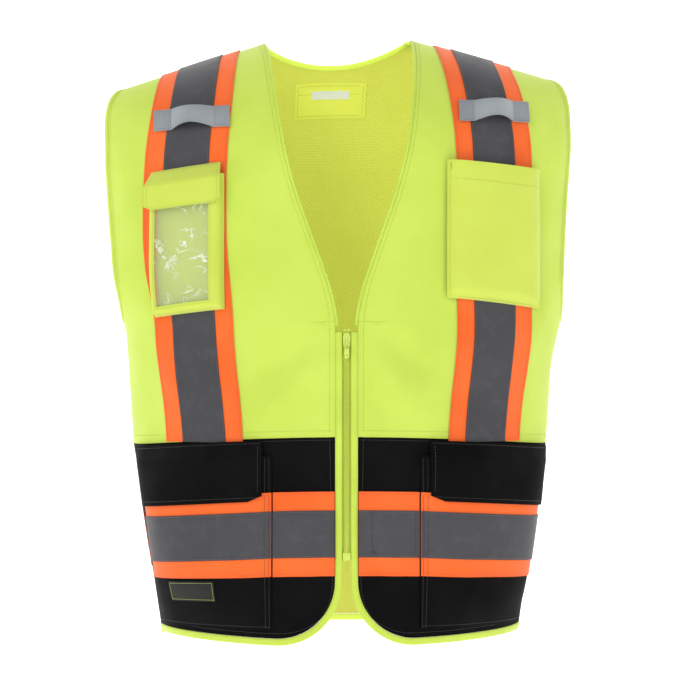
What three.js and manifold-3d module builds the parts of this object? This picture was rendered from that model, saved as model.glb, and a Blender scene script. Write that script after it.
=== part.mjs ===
// High visibility vest, built from flat pattern pieces laid in layers over one torso surface.
// Units are millimetres. +X is the wearer's left, +Y the wearer's back, +Z up.
// The origin is on the centre line at the height of the neck end of the shoulder seams.
import * as THREE from 'three';
import Module from 'manifold-3d';

const wasm = await Module();
wasm.setup();

const RIGHT = -1;
const LEFT = 1;

// ---- torso the vest hangs on ----
const FRONT_DEPTH = 135;
const BACK_DEPTH = 115;
const CHEST_HALF_WIDTH = 250;
const WAIST_HALF_WIDTH = 229.5;
const HEM_HALF_WIDTH = 197;
const CROWN_Z = -130;
const WAIST_Z = -446;
const BODY_END_Z = -660;
const CROWN_ARC = 175;
const ARMHOLE_FLARE = 17.5;
const FLARE_LOW_Z = -370;
const RIGHT_FLARE_LOW_Z = -325;
const FLARE_HIGH_Z = -250;
const NECK_HALF_WIDTH = 85;
const SHOULDER_SLOPE = 0.3;
const NAPE_RISE = 6;
const SHOULDER_TILT = 0.029;
const TILT_LOW_Z = -330;
const TILT_HIGH_Z = -100;
const SHOULDER_SWAY = 4.4;
const SWAY_LOW_Z = -340;
const SWAY_HIGH_Z = -240;

// ---- cloth, tape and trim ----
const CLOTH = 1.4;
const TAPE = 0.8;
const FOIL = 0.6;
const HOOK = 0.7;
const LAYER_GAP = 0.6;
const SEAM_GAP = 0.4;
const SEAM_ANGLE = 0.002;
const TAPE_LOW = CLOTH + LAYER_GAP + 0.25;
const FOIL_LOW = TAPE_LOW + TAPE + LAYER_GAP;
const OVER_TAPES = FOIL_LOW + FOIL + LAYER_GAP;

const FRONT_EDGE = 12.3;
const BINDING_WIDTH = 7.3;
const NECK_EDGE_WIDTH = 3.4;
const BINDING_LOW = -0.8;
const BINDING_HIGH = 2.2;

const SEAM_Z = -434.5;
const WAIST_DIP = 11;
const CHEST_DIP = 20;
const HEM_Z = -650;
const CORNER_RADIUS = 62;
const BACK_HEM_Z = -650;
const UNDERARM_Z = -312;
const ARMHOLE_ANGLE = 73;
const TIP_ANGLE = 64.5;
const TIP_ARC = 107;
const NAPE_Z = -21;

const BACKING_WIDTH = 90;
const BRACE_WIDTH = 82;
const BRACE_REFLECTOR_WIDTH = 45;
const REFLECTOR_WIDTH = 50;
const BAND_Z = -537.5;

const POCKET_INNER_X = 79;
const SIDE_ANGLE = 75;
const POUCH_TOP_Z = -453;
const POUCH_BULGE = 12;
const CARGO_FLAP_END_Z = -501;

const ID_INNER_X = 127.5;
const ID_OUTER_X = 199;
const ID_TOP_Z = -137;
const ID_BOTTOM_Z = -298;
const ID_FLAP_END_Z = -181;
const LEAST_FLAP_LIFT = 1.8;
const ID_BULGE = 11;
const CHEST_INNER_X = 107;
const CHEST_OUTER_X = 207;
const CHEST_TOP_Z = -141;
const CHEST_BOTTOM_Z = -286;
const CHEST_BULGE = 11;

const ZIP_TOP_Z = -322;
const ZIP_BOTTOM_Z = -556;
const ZIP_TAIL = 10;
const COIL_GAP = 0.7;
const COIL_WIDTH = 2.6;
const COIL_HEIGHT = 1.6;
const SLIDER_WIDTH = 8.4;
const SLIDER_LENGTH = 14;
const PLATE = 1.1;
const SLIDER_CLEARANCE = 0.35;

const MIC_Z = -89.5;
const MIC_HEIGHT = 22;
const MIC_INNER_X = 121.5;
const MIC_OUTER_X = 197;
const MIC_BOW = 17;
const MIC_LEAN = 3;

const degrees = THREE.MathUtils.degToRad;
const lerp = THREE.MathUtils.lerp;
const clamp = THREE.MathUtils.clamp;
const smooth = THREE.MathUtils.smoothstep;

// ---- torso surface ----

/** Smooth curve through [place, value] points, as a function of place. */
function curveThrough(points) {
  const slope = (i) => {
    const before = points[Math.max(0, i - 1)];
    const after = points[Math.min(points.length - 1, i + 1)];
    return (after[1] - before[1]) / (after[0] - before[0]);
  };
  return (place) => {
    const at = clamp(place, points[0][0], points[points.length - 1][0]);
    let i = 0;
    while (i < points.length - 2 && at > points[i + 1][0]) i += 1;
    const span = points[i + 1][0] - points[i][0];
    const t = (at - points[i][0]) / span;
    const t2 = t * t;
    const t3 = t2 * t;
    return (2 * t3 - 3 * t2 + 1) * points[i][1] + (t3 - 2 * t2 + t) * span * slope(i)
      + (3 * t2 - 2 * t3) * points[i + 1][1] + (t3 - t2) * span * slope(i + 1);
  };
}

function halfWidth(z) {
  if (z >= CROWN_Z) return CHEST_HALF_WIDTH;
  if (z >= WAIST_Z) {
    return lerp(CHEST_HALF_WIDTH, WAIST_HALF_WIDTH, (CROWN_Z - z) / (CROWN_Z - WAIST_Z));
  }
  return lerp(WAIST_HALF_WIDTH, HEM_HALF_WIDTH, (WAIST_Z - z) / (WAIST_Z - BODY_END_Z));
}

function ridgeZ(x) {
  const reach = Math.abs(x);
  if (reach > NECK_HALF_WIDTH) return -(reach - NECK_HALF_WIDTH) * SHOULDER_SLOPE;
  return NAPE_RISE * (1 - (reach / NECK_HALF_WIDTH) ** 2);
}

/** Point of the torso at an angle round it and a way down from the shoulder ridge (minus = front). */
function torso(angle, way) {
  const reach = Math.abs(way);
  const z = Math.min(CROWN_Z, CROWN_Z - (reach - CROWN_ARC));
  const s = Math.sin(angle);
  const flareLowZ = s < 0 ? RIGHT_FLARE_LOW_Z : FLARE_LOW_Z;
  const flare = ARMHOLE_FLARE * smooth(z, flareLowZ, FLARE_HIGH_Z) * Math.sign(s) * s ** 6;
  const point = new THREE.Vector3(halfWidth(z) * s + flare, 0, z);
  let depth = (way > 0 ? BACK_DEPTH : -FRONT_DEPTH) * Math.cos(angle);
  if (reach < CROWN_ARC) {
    const climb = (1 - reach / CROWN_ARC) * Math.PI / 2;
    point.z = CROWN_Z + (ridgeZ(point.x) - CROWN_Z) * Math.sin(climb);
    depth *= Math.cos(climb);
  }
  point.y = depth;
  point.x -= SHOULDER_SWAY * (1 + depth / FRONT_DEPTH) * smooth(z, SWAY_LOW_Z, SWAY_HIGH_Z);
  point.z += SHOULDER_TILT * point.x * smooth(point.z, TILT_LOW_Z, TILT_HIGH_Z);
  return point;
}

/** Point and outward normal of the torso surface. */
function surface(angle, way) {
  const point = torso(angle, way);
  const inward = way > 0 ? -1 : 1;
  const up = torso(angle, way + inward).sub(torso(angle, way - inward * (Math.abs(way) < 1 ? 0 : 1)));
  const round = torso(angle + 0.002, way).sub(torso(angle - 0.002, way));
  const normal = new THREE.Vector3().crossVectors(round, up).normalize();
  const middle = new THREE.Vector3(0, 0, Math.min(point.z, CROWN_Z));
  if (normal.dot(point.clone().sub(middle)) < 0) normal.negate();
  return { point, normal };
}

/** Angle and way of a place on the front given as seen from the front. */
function frontSpot(x, z) {
  const angle = Math.asin(clamp(x / halfWidth(z), -1, 1));
  if (z <= CROWN_Z) return [angle, -(CROWN_ARC + CROWN_Z - z)];
  const climb = Math.asin(clamp((z - CROWN_Z) / (ridgeZ(x) - CROWN_Z), 0, 1));
  return [angle, -CROWN_ARC * (1 - climb / (Math.PI / 2))];
}

const wayDown = (z) => CROWN_ARC + CROWN_Z - z;
const dipOf = (x, z, depth) => depth * (x / halfWidth(z)) ** 2;

// ---- solids ----

function meshOf(name, positions, triangles, material) {
  const geometry = new THREE.BufferGeometry();
  geometry.setAttribute('position', new THREE.Float32BufferAttribute(positions, 3));
  geometry.setIndex(triangles);
  let volume = 0;
  const corner = [0, 1, 2].map(() => new THREE.Vector3());
  for (let t = 0; t < triangles.length; t += 3) {
    corner.forEach((v, k) => v.fromArray(positions, triangles[t + k] * 3));
    volume += corner[0].dot(corner[1].clone().cross(corner[2]));
  }
  if (volume < 0) {
    for (let t = 0; t < triangles.length; t += 3) {
      [triangles[t + 1], triangles[t + 2]] = [triangles[t + 2], triangles[t + 1]];
    }
    geometry.setIndex(triangles);
  }
  geometry.computeVertexNormals();
  const mesh = new THREE.Mesh(geometry, material);
  mesh.name = name;
  return mesh;
}

/** Closed sheet over the torso: at(i, j) gives angle and way, low and high the two faces' offsets. */
function sheet(name, material, columns, rows, at, low, high, keep = () => true) {
  const positions = [];
  const triangles = [];
  for (const offset of [low, high]) {
    for (let j = 0; j <= rows; j += 1) {
      for (let i = 0; i <= columns; i += 1) {
        const { point, normal } = surface(...at(i, j));
        point.addScaledVector(normal, typeof offset === 'function' ? offset(i, j) : offset);
        positions.push(point.x, point.y, point.z);
      }
    }
  }
  const layer = (columns + 1) * (rows + 1);
  const vertex = (i, j, up) => up * layer + j * (columns + 1) + i;
  const quad = (a, b, c, d) => triangles.push(a, b, c, a, c, d);
  const kept = (i, j) => i >= 0 && j >= 0 && i < columns && j < rows && keep(i, j);
  for (let j = 0; j < rows; j += 1) {
    for (let i = 0; i < columns; i += 1) {
      if (!kept(i, j)) continue;
      quad(vertex(i, j, 1), vertex(i + 1, j, 1), vertex(i + 1, j + 1, 1), vertex(i, j + 1, 1));
      quad(vertex(i, j + 1, 0), vertex(i + 1, j + 1, 0), vertex(i + 1, j, 0), vertex(i, j, 0));
      if (!kept(i, j - 1)) {
        quad(vertex(i, j, 0), vertex(i + 1, j, 0), vertex(i + 1, j, 1), vertex(i, j, 1));
      }
      if (!kept(i, j + 1)) {
        quad(vertex(i, j + 1, 1), vertex(i + 1, j + 1, 1), vertex(i + 1, j + 1, 0), vertex(i, j + 1, 0));
      }
      if (!kept(i - 1, j)) {
        quad(vertex(i, j + 1, 0), vertex(i, j, 0), vertex(i, j, 1), vertex(i, j + 1, 1));
      }
      if (!kept(i + 1, j)) {
        quad(vertex(i + 1, j, 0), vertex(i + 1, j + 1, 0), vertex(i + 1, j + 1, 1), vertex(i + 1, j, 1));
      }
    }
  }
  const used = new Map();
  const tidy = [];
  const packed = triangles.map((v) => {
    if (!used.has(v)) {
      used.set(v, used.size);
      tidy.push(positions[v * 3], positions[v * 3 + 1], positions[v * 3 + 2]);
    }
    return used.get(v);
  });
  return meshOf(name, tidy, packed, material);
}

/** Closed strip swept along a path on the torso, reaching out sideways from the path. */
function ribbon(name, material, path, near, far, low = BINDING_LOW, high = BINDING_HIGH) {
  const stations = path.map(([angle, way]) => surface(angle, way));
  const positions = [];
  const triangles = [];
  stations.forEach(({ point, normal }, k) => {
    const before = stations[Math.max(0, k - 1)].point;
    const after = stations[Math.min(stations.length - 1, k + 1)].point;
    const side = new THREE.Vector3().crossVectors(after.clone().sub(before), normal).normalize();
    for (const [out, up] of [[near, low], [far, low], [far, high], [near, high]]) {
      const corner = point.clone().addScaledVector(side, out).addScaledVector(normal, up);
      positions.push(corner.x, corner.y, corner.z);
    }
  });
  for (let k = 0; k + 1 < stations.length; k += 1) {
    for (let c = 0; c < 4; c += 1) {
      const [a, b] = [k * 4 + c, k * 4 + ((c + 1) % 4)];
      triangles.push(a, b, b + 4, a, b + 4, a + 4);
    }
  }
  const end = (stations.length - 1) * 4;
  triangles.push(0, 2, 1, 0, 3, 2, end, end + 1, end + 2, end, end + 2, end + 3);
  return meshOf(name, positions, triangles, material);
}

function solidOf(geometry) {
  const indexed = geometry.index ? geometry : geometry.clone();
  const position = indexed.getAttribute('position');
  const keys = new Map();
  const vertices = [];
  const triangles = [];
  const count = indexed.index ? indexed.index.count : position.count;
  const shared = (k) => {
    const v = indexed.index ? indexed.index.getX(k) : k;
    const place = [position.getX(v), position.getY(v), position.getZ(v)];
    const key = place.map((n) => Math.round(n * 1e5)).join();
    if (!keys.has(key)) {
      keys.set(key, keys.size);
      vertices.push(...place);
    }
    return keys.get(key);
  };
  for (let k = 0; k < count; k += 3) {
    const [a, b, c] = [shared(k), shared(k + 1), shared(k + 2)];
    if (a !== b && b !== c && c !== a) triangles.push(a, b, c);
  }
  return new wasm.Manifold(new wasm.Mesh({
    numProp: 3,
    vertProperties: new Float32Array(vertices),
    triVerts: new Uint32Array(triangles),
  }));
}

function meshFrom(name, solid, material) {
  const made = solid.getMesh();
  return meshOf(name, Array.from(made.vertProperties), Array.from(made.triVerts), material);
}

function block(width, depth, height, x, y, z) {
  return solidOf(new THREE.BoxGeometry(width, depth, height).translate(x, y, z));
}

/** Flat outline in X and Z, thickened along Y from its back face at y. */
function plate(outline, thickness, y) {
  const shape = new THREE.Shape(outline.map(([x, z]) => new THREE.Vector2(x, z)));
  const geometry = new THREE.ExtrudeGeometry(shape, { depth: thickness, bevelEnabled: false });
  return geometry.rotateX(Math.PI / 2).translate(0, y, 0);
}

// ---- materials ----
const finish = (color, roughness = 0.9, metalness = 0) => (
  new THREE.MeshStandardMaterial({ color, roughness, metalness })
);
const lime = finish(0xcfe663);
const paleLime = finish(0xd8e35c);
const limeMesh = finish(0xc5d04c);
const binding = finish(0xc8e64a);
const orange = finish(0xfa6a2c);
const silver = finish(0x57565b, 0.45);
const black = finish(0x151516);
const webbing = finish(0x949ca1, 0.7);
const vinyl = finish(0xe4ecc4, 0.1);
const zipLime = finish(0xc4d850, 0.5);
const nylonTape = finish(0xcfe05a, 0.85);
const hookTape = finish(0x1b1b1d, 0.95);
const labelCloth = finish(0xc9c9d6, 0.8);
const badge = finish(0x22231f, 0.7);

// ---- edges of the pattern pieces ----
const neckEdge = curveThrough([
  [0, NECK_HALF_WIDTH], [90, 80], [126, 76], [166, 69.2], [200, 61], [227, 53],
  [265, 39.4], [307, 24.5], [328, 18], [350, FRONT_EDGE + 1.3], [wayDown(ZIP_TOP_Z), FRONT_EDGE],
]);

/** Angle of the armhole and side seam edge at a way down from the ridge. */
function sideAngle(reach) {
  const z = CROWN_Z - (reach - CROWN_ARC);
  if (z <= UNDERARM_Z) return degrees(90);
  if (z < FLARE_HIGH_Z) {
    const drop = (FLARE_HIGH_Z - z) / (FLARE_HIGH_Z - UNDERARM_Z);
    return degrees(lerp(ARMHOLE_ANGLE, 90, 1 - Math.sqrt(1 - drop * drop)));
  }
  const near = Math.max(0, 1 - reach / TIP_ARC);
  return degrees(ARMHOLE_ANGLE - (ARMHOLE_ANGLE - TIP_ANGLE) * near ** 1.5);
}

const SHOULDER_STEPS = 9;
const shoulderWays = Array.from({ length: SHOULDER_STEPS }, (_, k) => (
  Math.max(SEAM_GAP / 2, CROWN_ARC * (1 - (k + 1) / SHOULDER_STEPS))
));
const UNDERARM_LEVELS = [UNDERARM_Z, -309, -303, -293, -281, -266, FLARE_HIGH_Z];
const upperLevels = [...UNDERARM_LEVELS, -220, -190, -160, CROWN_Z].map(wayDown);
const upperWays = [...upperLevels, ...shoulderWays];

const hemDip = (x) => 6 * (x / HEM_HALF_WIDTH) ** 2;

/** Angle and height along a front half's bottom edge: down, round the corner, out to the side. */
function frontHem(t) {
  const turn = 0.45;
  const centreX = FRONT_EDGE + CORNER_RADIUS;
  const centreZ = HEM_Z + CORNER_RADIUS;
  if (t < turn) {
    const a = (t / turn) * Math.PI / 2;
    const z = centreZ - CORNER_RADIUS * Math.sin(a);
    return [Math.asin((centreX - CORNER_RADIUS * Math.cos(a)) / halfWidth(z)), z];
  }
  const out = (t - turn) / (1 - turn);
  const angle = lerp(Math.asin(centreX / halfWidth(HEM_Z)), Math.PI / 2 - SEAM_ANGLE, out);
  const x = halfWidth(HEM_Z) * Math.sin(angle);
  return [angle, HEM_Z + hemDip(x) - hemDip(centreX)];
}

// ---- body panels ----

function frontPanel(name, side) {
  const columns = 8;
  const rows = 3 + upperWays.length;
  const ways = [null, wayDown(-405), wayDown(-370), wayDown(-338), ...upperWays];
  return sheet(name, lime, columns, rows, (i, j) => {
    const u = i / columns;
    const reach = ways[j] ?? wayDown(SEAM_Z);
    const z = CROWN_Z - (reach - CROWN_ARC);
    const inner = Math.asin(neckEdge(reach) / halfWidth(z));
    const outer = sideAngle(reach) - (z <= UNDERARM_Z ? SEAM_ANGLE : 0);
    const angle = lerp(inner, outer, u);
    const dip = ways[j] ? 0 : WAIST_DIP * Math.sin(angle) ** 2;
    return [side * angle, -(reach + dip)];
  }, 0, CLOTH);
}

function lowerPanel(name, side) {
  const columns = 8;
  const rows = 7;
  const topZ = (x) => SEAM_Z - SEAM_GAP - dipOf(x, WAIST_Z, WAIST_DIP);
  const turn = 0.225;
  return sheet(name, black, columns, rows, (i, j) => {
    const u = i / columns;
    const v = j / rows;
    const [hemAngle, hemZ] = frontHem(lerp(turn, 1, u));
    const [cornerAngle, cornerZ] = frontHem(turn);
    const straightZ = HEM_Z + CORNER_RADIUS;
    const innerZ = lerp(SEAM_Z, cornerZ, v);
    const sunk = clamp((straightZ - innerZ) / CORNER_RADIUS, 0, 1);
    const innerX = innerZ > straightZ
      ? FRONT_EDGE
      : FRONT_EDGE + CORNER_RADIUS * (1 - Math.sqrt(1 - sunk * sunk));
    const top = Math.asin(FRONT_EDGE / WAIST_HALF_WIDTH);
    const topAngle = lerp(top, Math.PI / 2 - SEAM_ANGLE, u);
    const innerAngle = Math.asin(innerX / halfWidth(innerZ));
    const ruled = lerp(topAngle, hemAngle, v);
    const ruledInner = lerp(top, cornerAngle, v);
    const angle = ruled + (innerAngle - ruledInner) * (1 - u);
    const z = lerp(topZ(WAIST_HALF_WIDTH * Math.sin(topAngle)), hemZ, v);
    return [side * angle, -wayDown(z)];
  }, 0, CLOTH);
}

function napeWay(x) {
  const z = NAPE_Z * (1 - (x / NECK_HALF_WIDTH) ** 2);
  const climb = Math.asin(clamp((z - CROWN_Z) / (ridgeZ(x) - CROWN_Z), 0, 1));
  return Math.max(SEAM_GAP / 2, CROWN_ARC * (1 - climb / (Math.PI / 2)));
}

const neckShare = Math.asin(NECK_HALF_WIDTH / CHEST_HALF_WIDTH) / degrees(TIP_ANGLE);
const neckShares = [0.25, 0.5, 0.75, 1].map((k) => k * neckShare);
const halfShares = neckShares.concat([0.2, 0.4, 0.6, 0.8, 1].map((k) => lerp(neckShare, 1, k)));
const mirrored = (shares) => [...shares.map((k) => -k).reverse(), 0, ...shares];

function backPanel(name) {
  const shares = mirrored(halfShares);
  const low = [BACK_HEM_Z, -600, -550, -500, WAIST_Z, -400, -360, -335].map(wayDown);
  const ways = [...low, ...upperWays];
  return sheet(name, limeMesh, shares.length - 1, ways.length - 1, (i, j) => {
    const reach = ways[j];
    const z = CROWN_Z - (reach - CROWN_ARC);
    const edge = sideAngle(reach) - (z <= UNDERARM_Z ? SEAM_ANGLE : 0);
    const angle = shares[i] * edge;
    if (reach >= CROWN_ARC || Math.abs(shares[i]) > neckShare - 0.001) return [angle, reach];
    const topX = CHEST_HALF_WIDTH * Math.sin(shares[i] * degrees(TIP_ANGLE));
    return [angle, lerp(napeWay(topX), CROWN_ARC, reach / CROWN_ARC)];
  }, 0, CLOTH);
}

// ---- edge bindings ----

function neckBinding(name, side) {
  const path = [wayDown(-316), ...upperWays].map((reach) => (
    [side * Math.asin(neckEdge(reach) / halfWidth(CROWN_Z - (reach - CROWN_ARC))), -reach]
  ));
  return ribbon(name, paleLime, path, side * SEAM_GAP * -1, side * -(SEAM_GAP + NECK_EDGE_WIDTH));
}

function napeBinding(name) {
  const path = mirrored(neckShares).map((share) => {
    const angle = share * degrees(TIP_ANGLE);
    return [angle, napeWay(CHEST_HALF_WIDTH * Math.sin(angle))];
  });
  const shorten = (end, next) => end.map((value, k) => lerp(value, next[k], 0.25));
  path[0] = shorten(path[0], path[1]);
  path[path.length - 1] = shorten(path[path.length - 1], path[path.length - 2]);
  return ribbon(name, binding, path, SEAM_GAP, SEAM_GAP + BINDING_WIDTH - 1);
}

function armholeBinding(name, side) {
  const front = upperWays.map((reach) => [side * sideAngle(reach), -reach]);
  const back = [...upperWays].reverse().map((reach) => [side * sideAngle(reach), reach]);
  const path = [...front, ...back];
  path[0] = [side * (Math.PI / 2 - 6 * SEAM_ANGLE), path[0][1]];
  path[path.length - 1] = [side * (Math.PI / 2 - 6 * SEAM_ANGLE), path[path.length - 1][1]];
  return ribbon(name, binding, path, side * SEAM_GAP, side * (SEAM_GAP + BINDING_WIDTH - 1));
}

function frontBinding(name, side) {
  const straight = [ZIP_TOP_Z - 1, -400, WAIST_Z, -500, -550, HEM_Z + CORNER_RADIUS + 6]
    .map((z) => frontSpot(FRONT_EDGE, z));
  const curve = [];
  for (let t = 0; t <= 1.0001; t += 0.05) {
    const [angle, z] = frontHem(Math.min(t, 0.993));
    curve.push([angle, -wayDown(z)]);
  }
  const path = [...straight, ...curve].map(([angle, way]) => [side * angle, way]);
  return ribbon(name, binding, path, side * SEAM_GAP, side * (SEAM_GAP + BINDING_WIDTH), -0.2);
}

function backHemBinding(name) {
  const steps = 16;
  const path = Array.from({ length: steps + 1 }, (_, k) => (
    [lerp(-1, 1, k / steps) * (Math.PI / 2 - 6 * SEAM_ANGLE), wayDown(BACK_HEM_Z)]
  ));
  return ribbon(name, binding, path, -SEAM_GAP, -(SEAM_GAP + BINDING_WIDTH));
}

// ---- tapes ----
const braceCentre = curveThrough([
  [0, 148], [50, 150], [103, 155.5], [175, 162.5], [250, 163.5], [330, 161], [375, 160],
  [410, 157], [440, 153.5], [475, 150.5], [560, 147],
]);
const BRACE_LEAN = 3.5;

function brace(name, side, material, width, low, thickness) {
  const columns = width > BRACE_REFLECTOR_WIDTH ? 6 : 4;
  const front = [wayDown(SEAM_Z - 6.5), wayDown(-390), wayDown(-345), wayDown(-300), wayDown(-266)]
    .concat([wayDown(-235), wayDown(-200), wayDown(-165), CROWN_ARC]);
  const crown = Array.from({ length: 11 }, (_, k) => CROWN_ARC * (1 - (k + 1) / 12));
  const backEnd = BAND_Z + BACKING_WIDTH / 2 + SEAM_GAP;
  const back = [...front.slice(1).reverse(), wayDown(WAIST_Z), wayDown(backEnd)];
  const ways = [...front, ...crown].map((reach) => -reach).concat([0], [...crown].reverse(), back);
  return sheet(name, material, columns, ways.length - 1, (i, j) => {
    const reach = Math.abs(ways[j]);
    const lean = ways[j] < 0 ? BRACE_LEAN * smooth(reach, 0, 60) * (1 - smooth(reach, 255, 375)) : 0;
    const x = side * (braceCentre(reach) + (i / columns - 0.5) * width) - lean;
    return [Math.asin(x / halfWidth(CROWN_Z - (reach - CROWN_ARC))), ways[j]];
  }, low, low + thickness);
}

function bandStrip(name, material, columns, angles, height, low, thickness, side, way = -1) {
  return sheet(name, material, columns, 1, (i, j) => {
    const z = BAND_Z + (j - 0.5) * height;
    const angle = angles(i / columns, z);
    return [side * angle, way * wayDown(z - (way < 0 ? WAIST_DIP * Math.sin(angle) ** 2 : 0))];
  }, low, low + thickness);
}

const innerBand = (u, z) => (
  Math.asin(lerp(FRONT_EDGE + SEAM_GAP, POCKET_INNER_X - 2 * LAYER_GAP, u) / halfWidth(z))
);
const backShares = mirrored(halfShares);
const backColumns = backShares.length - 1;
const backBand = (u) => backShares[Math.round(u * backColumns)] * (Math.PI / 2 - 2 * SEAM_ANGLE);

// ---- pockets ----
const POUCH_COLUMNS = 12;
const POUCH_SPAN = 170;
const FLAP_START = 0.045;
const POUCH_LEVELS = [
  HEM_Z + 9, -628, -611, -598, BAND_Z - BACKING_WIDTH / 2, BAND_Z - REFLECTOR_WIDTH / 2,
  BAND_Z + REFLECTOR_WIDTH / 2, BAND_Z + BACKING_WIDTH / 2, -470, POUCH_TOP_Z,
];
const across = (u) => 1 - (2 * clamp(u, 0, 1) - 1) ** 4;

/** How far a cargo pouch stands off its panel. */
function pouchBulge(u, z) {
  const rise = 1 - (1 - clamp((z - POUCH_LEVELS[0]) / 60, 0, 1)) ** 2;
  const mouth = 1 - 0.3 * smooth(z, -500, POUCH_TOP_Z);
  return POUCH_BULGE * across(u) * rise * mouth;
}

function pouchSpot(side, u, z) {
  const angle = lerp(Math.asin(POCKET_INNER_X / halfWidth(z)), degrees(SIDE_ANGLE), u);
  return [side * angle, -wayDown(z - WAIST_DIP * Math.sin(angle) ** 2 * smooth(z, HEM_Z, BAND_Z))];
}

function onPouch(name, material, side, columns, levels, low, thickness, from = 0, to = 1) {
  const share = (i) => lerp(from, to, i / columns);
  const offset = (base) => (i, j) => base + pouchBulge(share(i), levels[j]);
  return sheet(name, material, columns, levels.length - 1,
    (i, j) => pouchSpot(side, share(i), levels[j]), offset(low), offset(low + thickness));
}

const POUCH_FACE = TAPE_LOW + CLOTH - 0.2;
const FASTENER_LEVELS = [-487, -470];
const FASTENER_SPAN = [5 / POUCH_COLUMNS, 7 / POUCH_COLUMNS];
const FLAP_LOW = POUCH_FACE + 2 * HOOK + 3 * LAYER_GAP;

function cargoFlap(name, side) {
  const bandTopZ = BAND_Z + BACKING_WIDTH / 2;
  const levels = [SEAM_Z - 2.5, -445, POUCH_TOP_Z, -470, bandTopZ, CARGO_FLAP_END_Z];
  const chamfer = 12;
  const share = (i, j) => {
    const inset = j === levels.length - 1 ? chamfer : 0;
    const drawnIn = inset / POUCH_SPAN;
    return lerp(FLAP_START + drawnIn, 1 - drawnIn, i / POUCH_COLUMNS);
  };
  const offset = (extra) => (i, j) => {
    const z = levels[j];
    const open = FLAP_LOW + pouchBulge(share(i, j), Math.min(z, POUCH_TOP_Z));
    const turned = clamp((levels[0] - z) / (levels[0] - POUCH_TOP_Z), 0, 1);
    return lerp(OVER_TAPES, open, turned) + extra;
  };
  return sheet(name, black, POUCH_COLUMNS, levels.length - 1,
    (i, j) => pouchSpot(side, share(i, j), levels[j]), offset(0), offset(CLOTH));
}

/** Chest pocket grid: columns across, rows up, standing off by its bulge. */
function chestSpot(side, innerX, x, z) {
  return frontSpot(side * x, z - dipOf(x, z, CHEST_DIP) + dipOf(innerX, z, CHEST_DIP));
}

function pocketBulge(height, u, v, edge = 0.16) {
  const wall = (t) => clamp(t / edge, 0, 1) * (2 - clamp(t / edge, 0, 1));
  return height * wall(Math.min(u, 1 - u)) * wall(v * 1.8);
}

const POCKET_STEPS_U = [0, 0.07, 0.16, 0.37, 0.63, 0.84, 0.93, 1];
const POCKET_STEPS_V = [0, 0.04, 0.09, 0.26, 0.45, 0.64, 0.82, 1];

function chestPocket(name, side) {
  const spot = (i, j) => {
    const x = lerp(CHEST_INNER_X, CHEST_OUTER_X, POCKET_STEPS_U[i]);
    const z = lerp(CHEST_BOTTOM_Z, CHEST_TOP_Z, POCKET_STEPS_V[j]);
    return chestSpot(side, CHEST_INNER_X, x, z);
  };
  const offset = (base) => (i, j) => (
    base + pocketBulge(CHEST_BULGE, POCKET_STEPS_U[i], POCKET_STEPS_V[j])
  );
  return sheet(name, paleLime, POCKET_STEPS_U.length - 1, POCKET_STEPS_V.length - 1,
    spot, offset(OVER_TAPES), offset(OVER_TAPES + CLOTH));
}

function idPocketSpot(u, v) {
  const x = lerp(ID_INNER_X, ID_OUTER_X, u);
  const z = lerp(ID_BOTTOM_Z, ID_TOP_Z, v);
  return chestSpot(RIGHT, ID_INNER_X, x, z);
}

const ID_FACE = OVER_TAPES + CLOTH;
const ID_STEPS_U = [0, 0.035, 0.07, 0.17, 0.41, 0.65, 0.89, 0.93, 0.965, 1];
const ID_STEPS_V = [0, 0.02, 0.04, 0.07, 0.3, 0.52, 0.76, 0.84, 0.92];
const idBulge = (u, v) => pocketBulge(ID_BULGE, u, v, 0.07);

function idPocket(name) {
  const windowCell = (i, j) => i > 2 && i < 6 && j > 2 && j < 6;
  const offset = (base) => (i, j) => base + idBulge(ID_STEPS_U[i], ID_STEPS_V[j]);
  return sheet(name, paleLime, ID_STEPS_U.length - 1, ID_STEPS_V.length - 1,
    (i, j) => idPocketSpot(ID_STEPS_U[i], ID_STEPS_V[j]), offset(OVER_TAPES), offset(ID_FACE),
    (i, j) => !windowCell(i, j));
}

function idWindow(name) {
  const stepsU = [0.11, 0.17, 0.41, 0.65, 0.89, 0.925];
  const stepsV = [0.05, 0.07, 0.3, 0.52, 0.76, 0.79];
  const low = OVER_TAPES - LAYER_GAP - 0.5;
  const offset = (base) => (i, j) => base + idBulge(stepsU[i], stepsV[j]);
  return sheet(name, vinyl, stepsU.length - 1, stepsV.length - 1,
    (i, j) => idPocketSpot(stepsU[i], stepsV[j]), offset(low), offset(low + 0.5));
}

const ID_FLAP_LOW = ID_FACE + 2 * HOOK + Math.max(3 * LAYER_GAP, LEAST_FLAP_LIFT);

function idFlap(name) {
  const stepsV = [1, 0.95, 0.9, 0.82, 0.76, (ID_FLAP_END_Z - ID_BOTTOM_Z) / (ID_TOP_Z - ID_BOTTOM_Z)];
  const share = (i, j) => {
    const inset = j === stepsV.length - 1 ? 0.1 : 0;
    return lerp(inset, 1 - inset, ID_STEPS_U[i]);
  };
  const offset = (extra) => (i, j) => {
    const v = Math.min(stepsV[j], 0.9);
    const open = ID_FLAP_LOW + idBulge(clamp(share(i, j), ID_STEPS_U[2], 1 - ID_STEPS_U[2]), v);
    return lerp(OVER_TAPES, open, clamp((1 - stepsV[j]) / 0.1, 0, 1)) + extra;
  };
  return sheet(name, paleLime, ID_STEPS_U.length - 1, stepsV.length - 1,
    (i, j) => idPocketSpot(share(i, j), stepsV[j]), offset(0), offset(CLOTH));
}

function idFastener(name, low) {
  const stepsU = [0.41, 0.65];
  const stepsV = [0.79, 0.87];
  const offset = (base) => (i, j) => base + idBulge(stepsU[i], stepsV[j]);
  return sheet(name, hookTape, 1, 1, (i, j) => idPocketSpot(stepsU[i], stepsV[j]),
    offset(low), offset(low + HOOK));
}

// ---- microphone tabs ----

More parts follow.
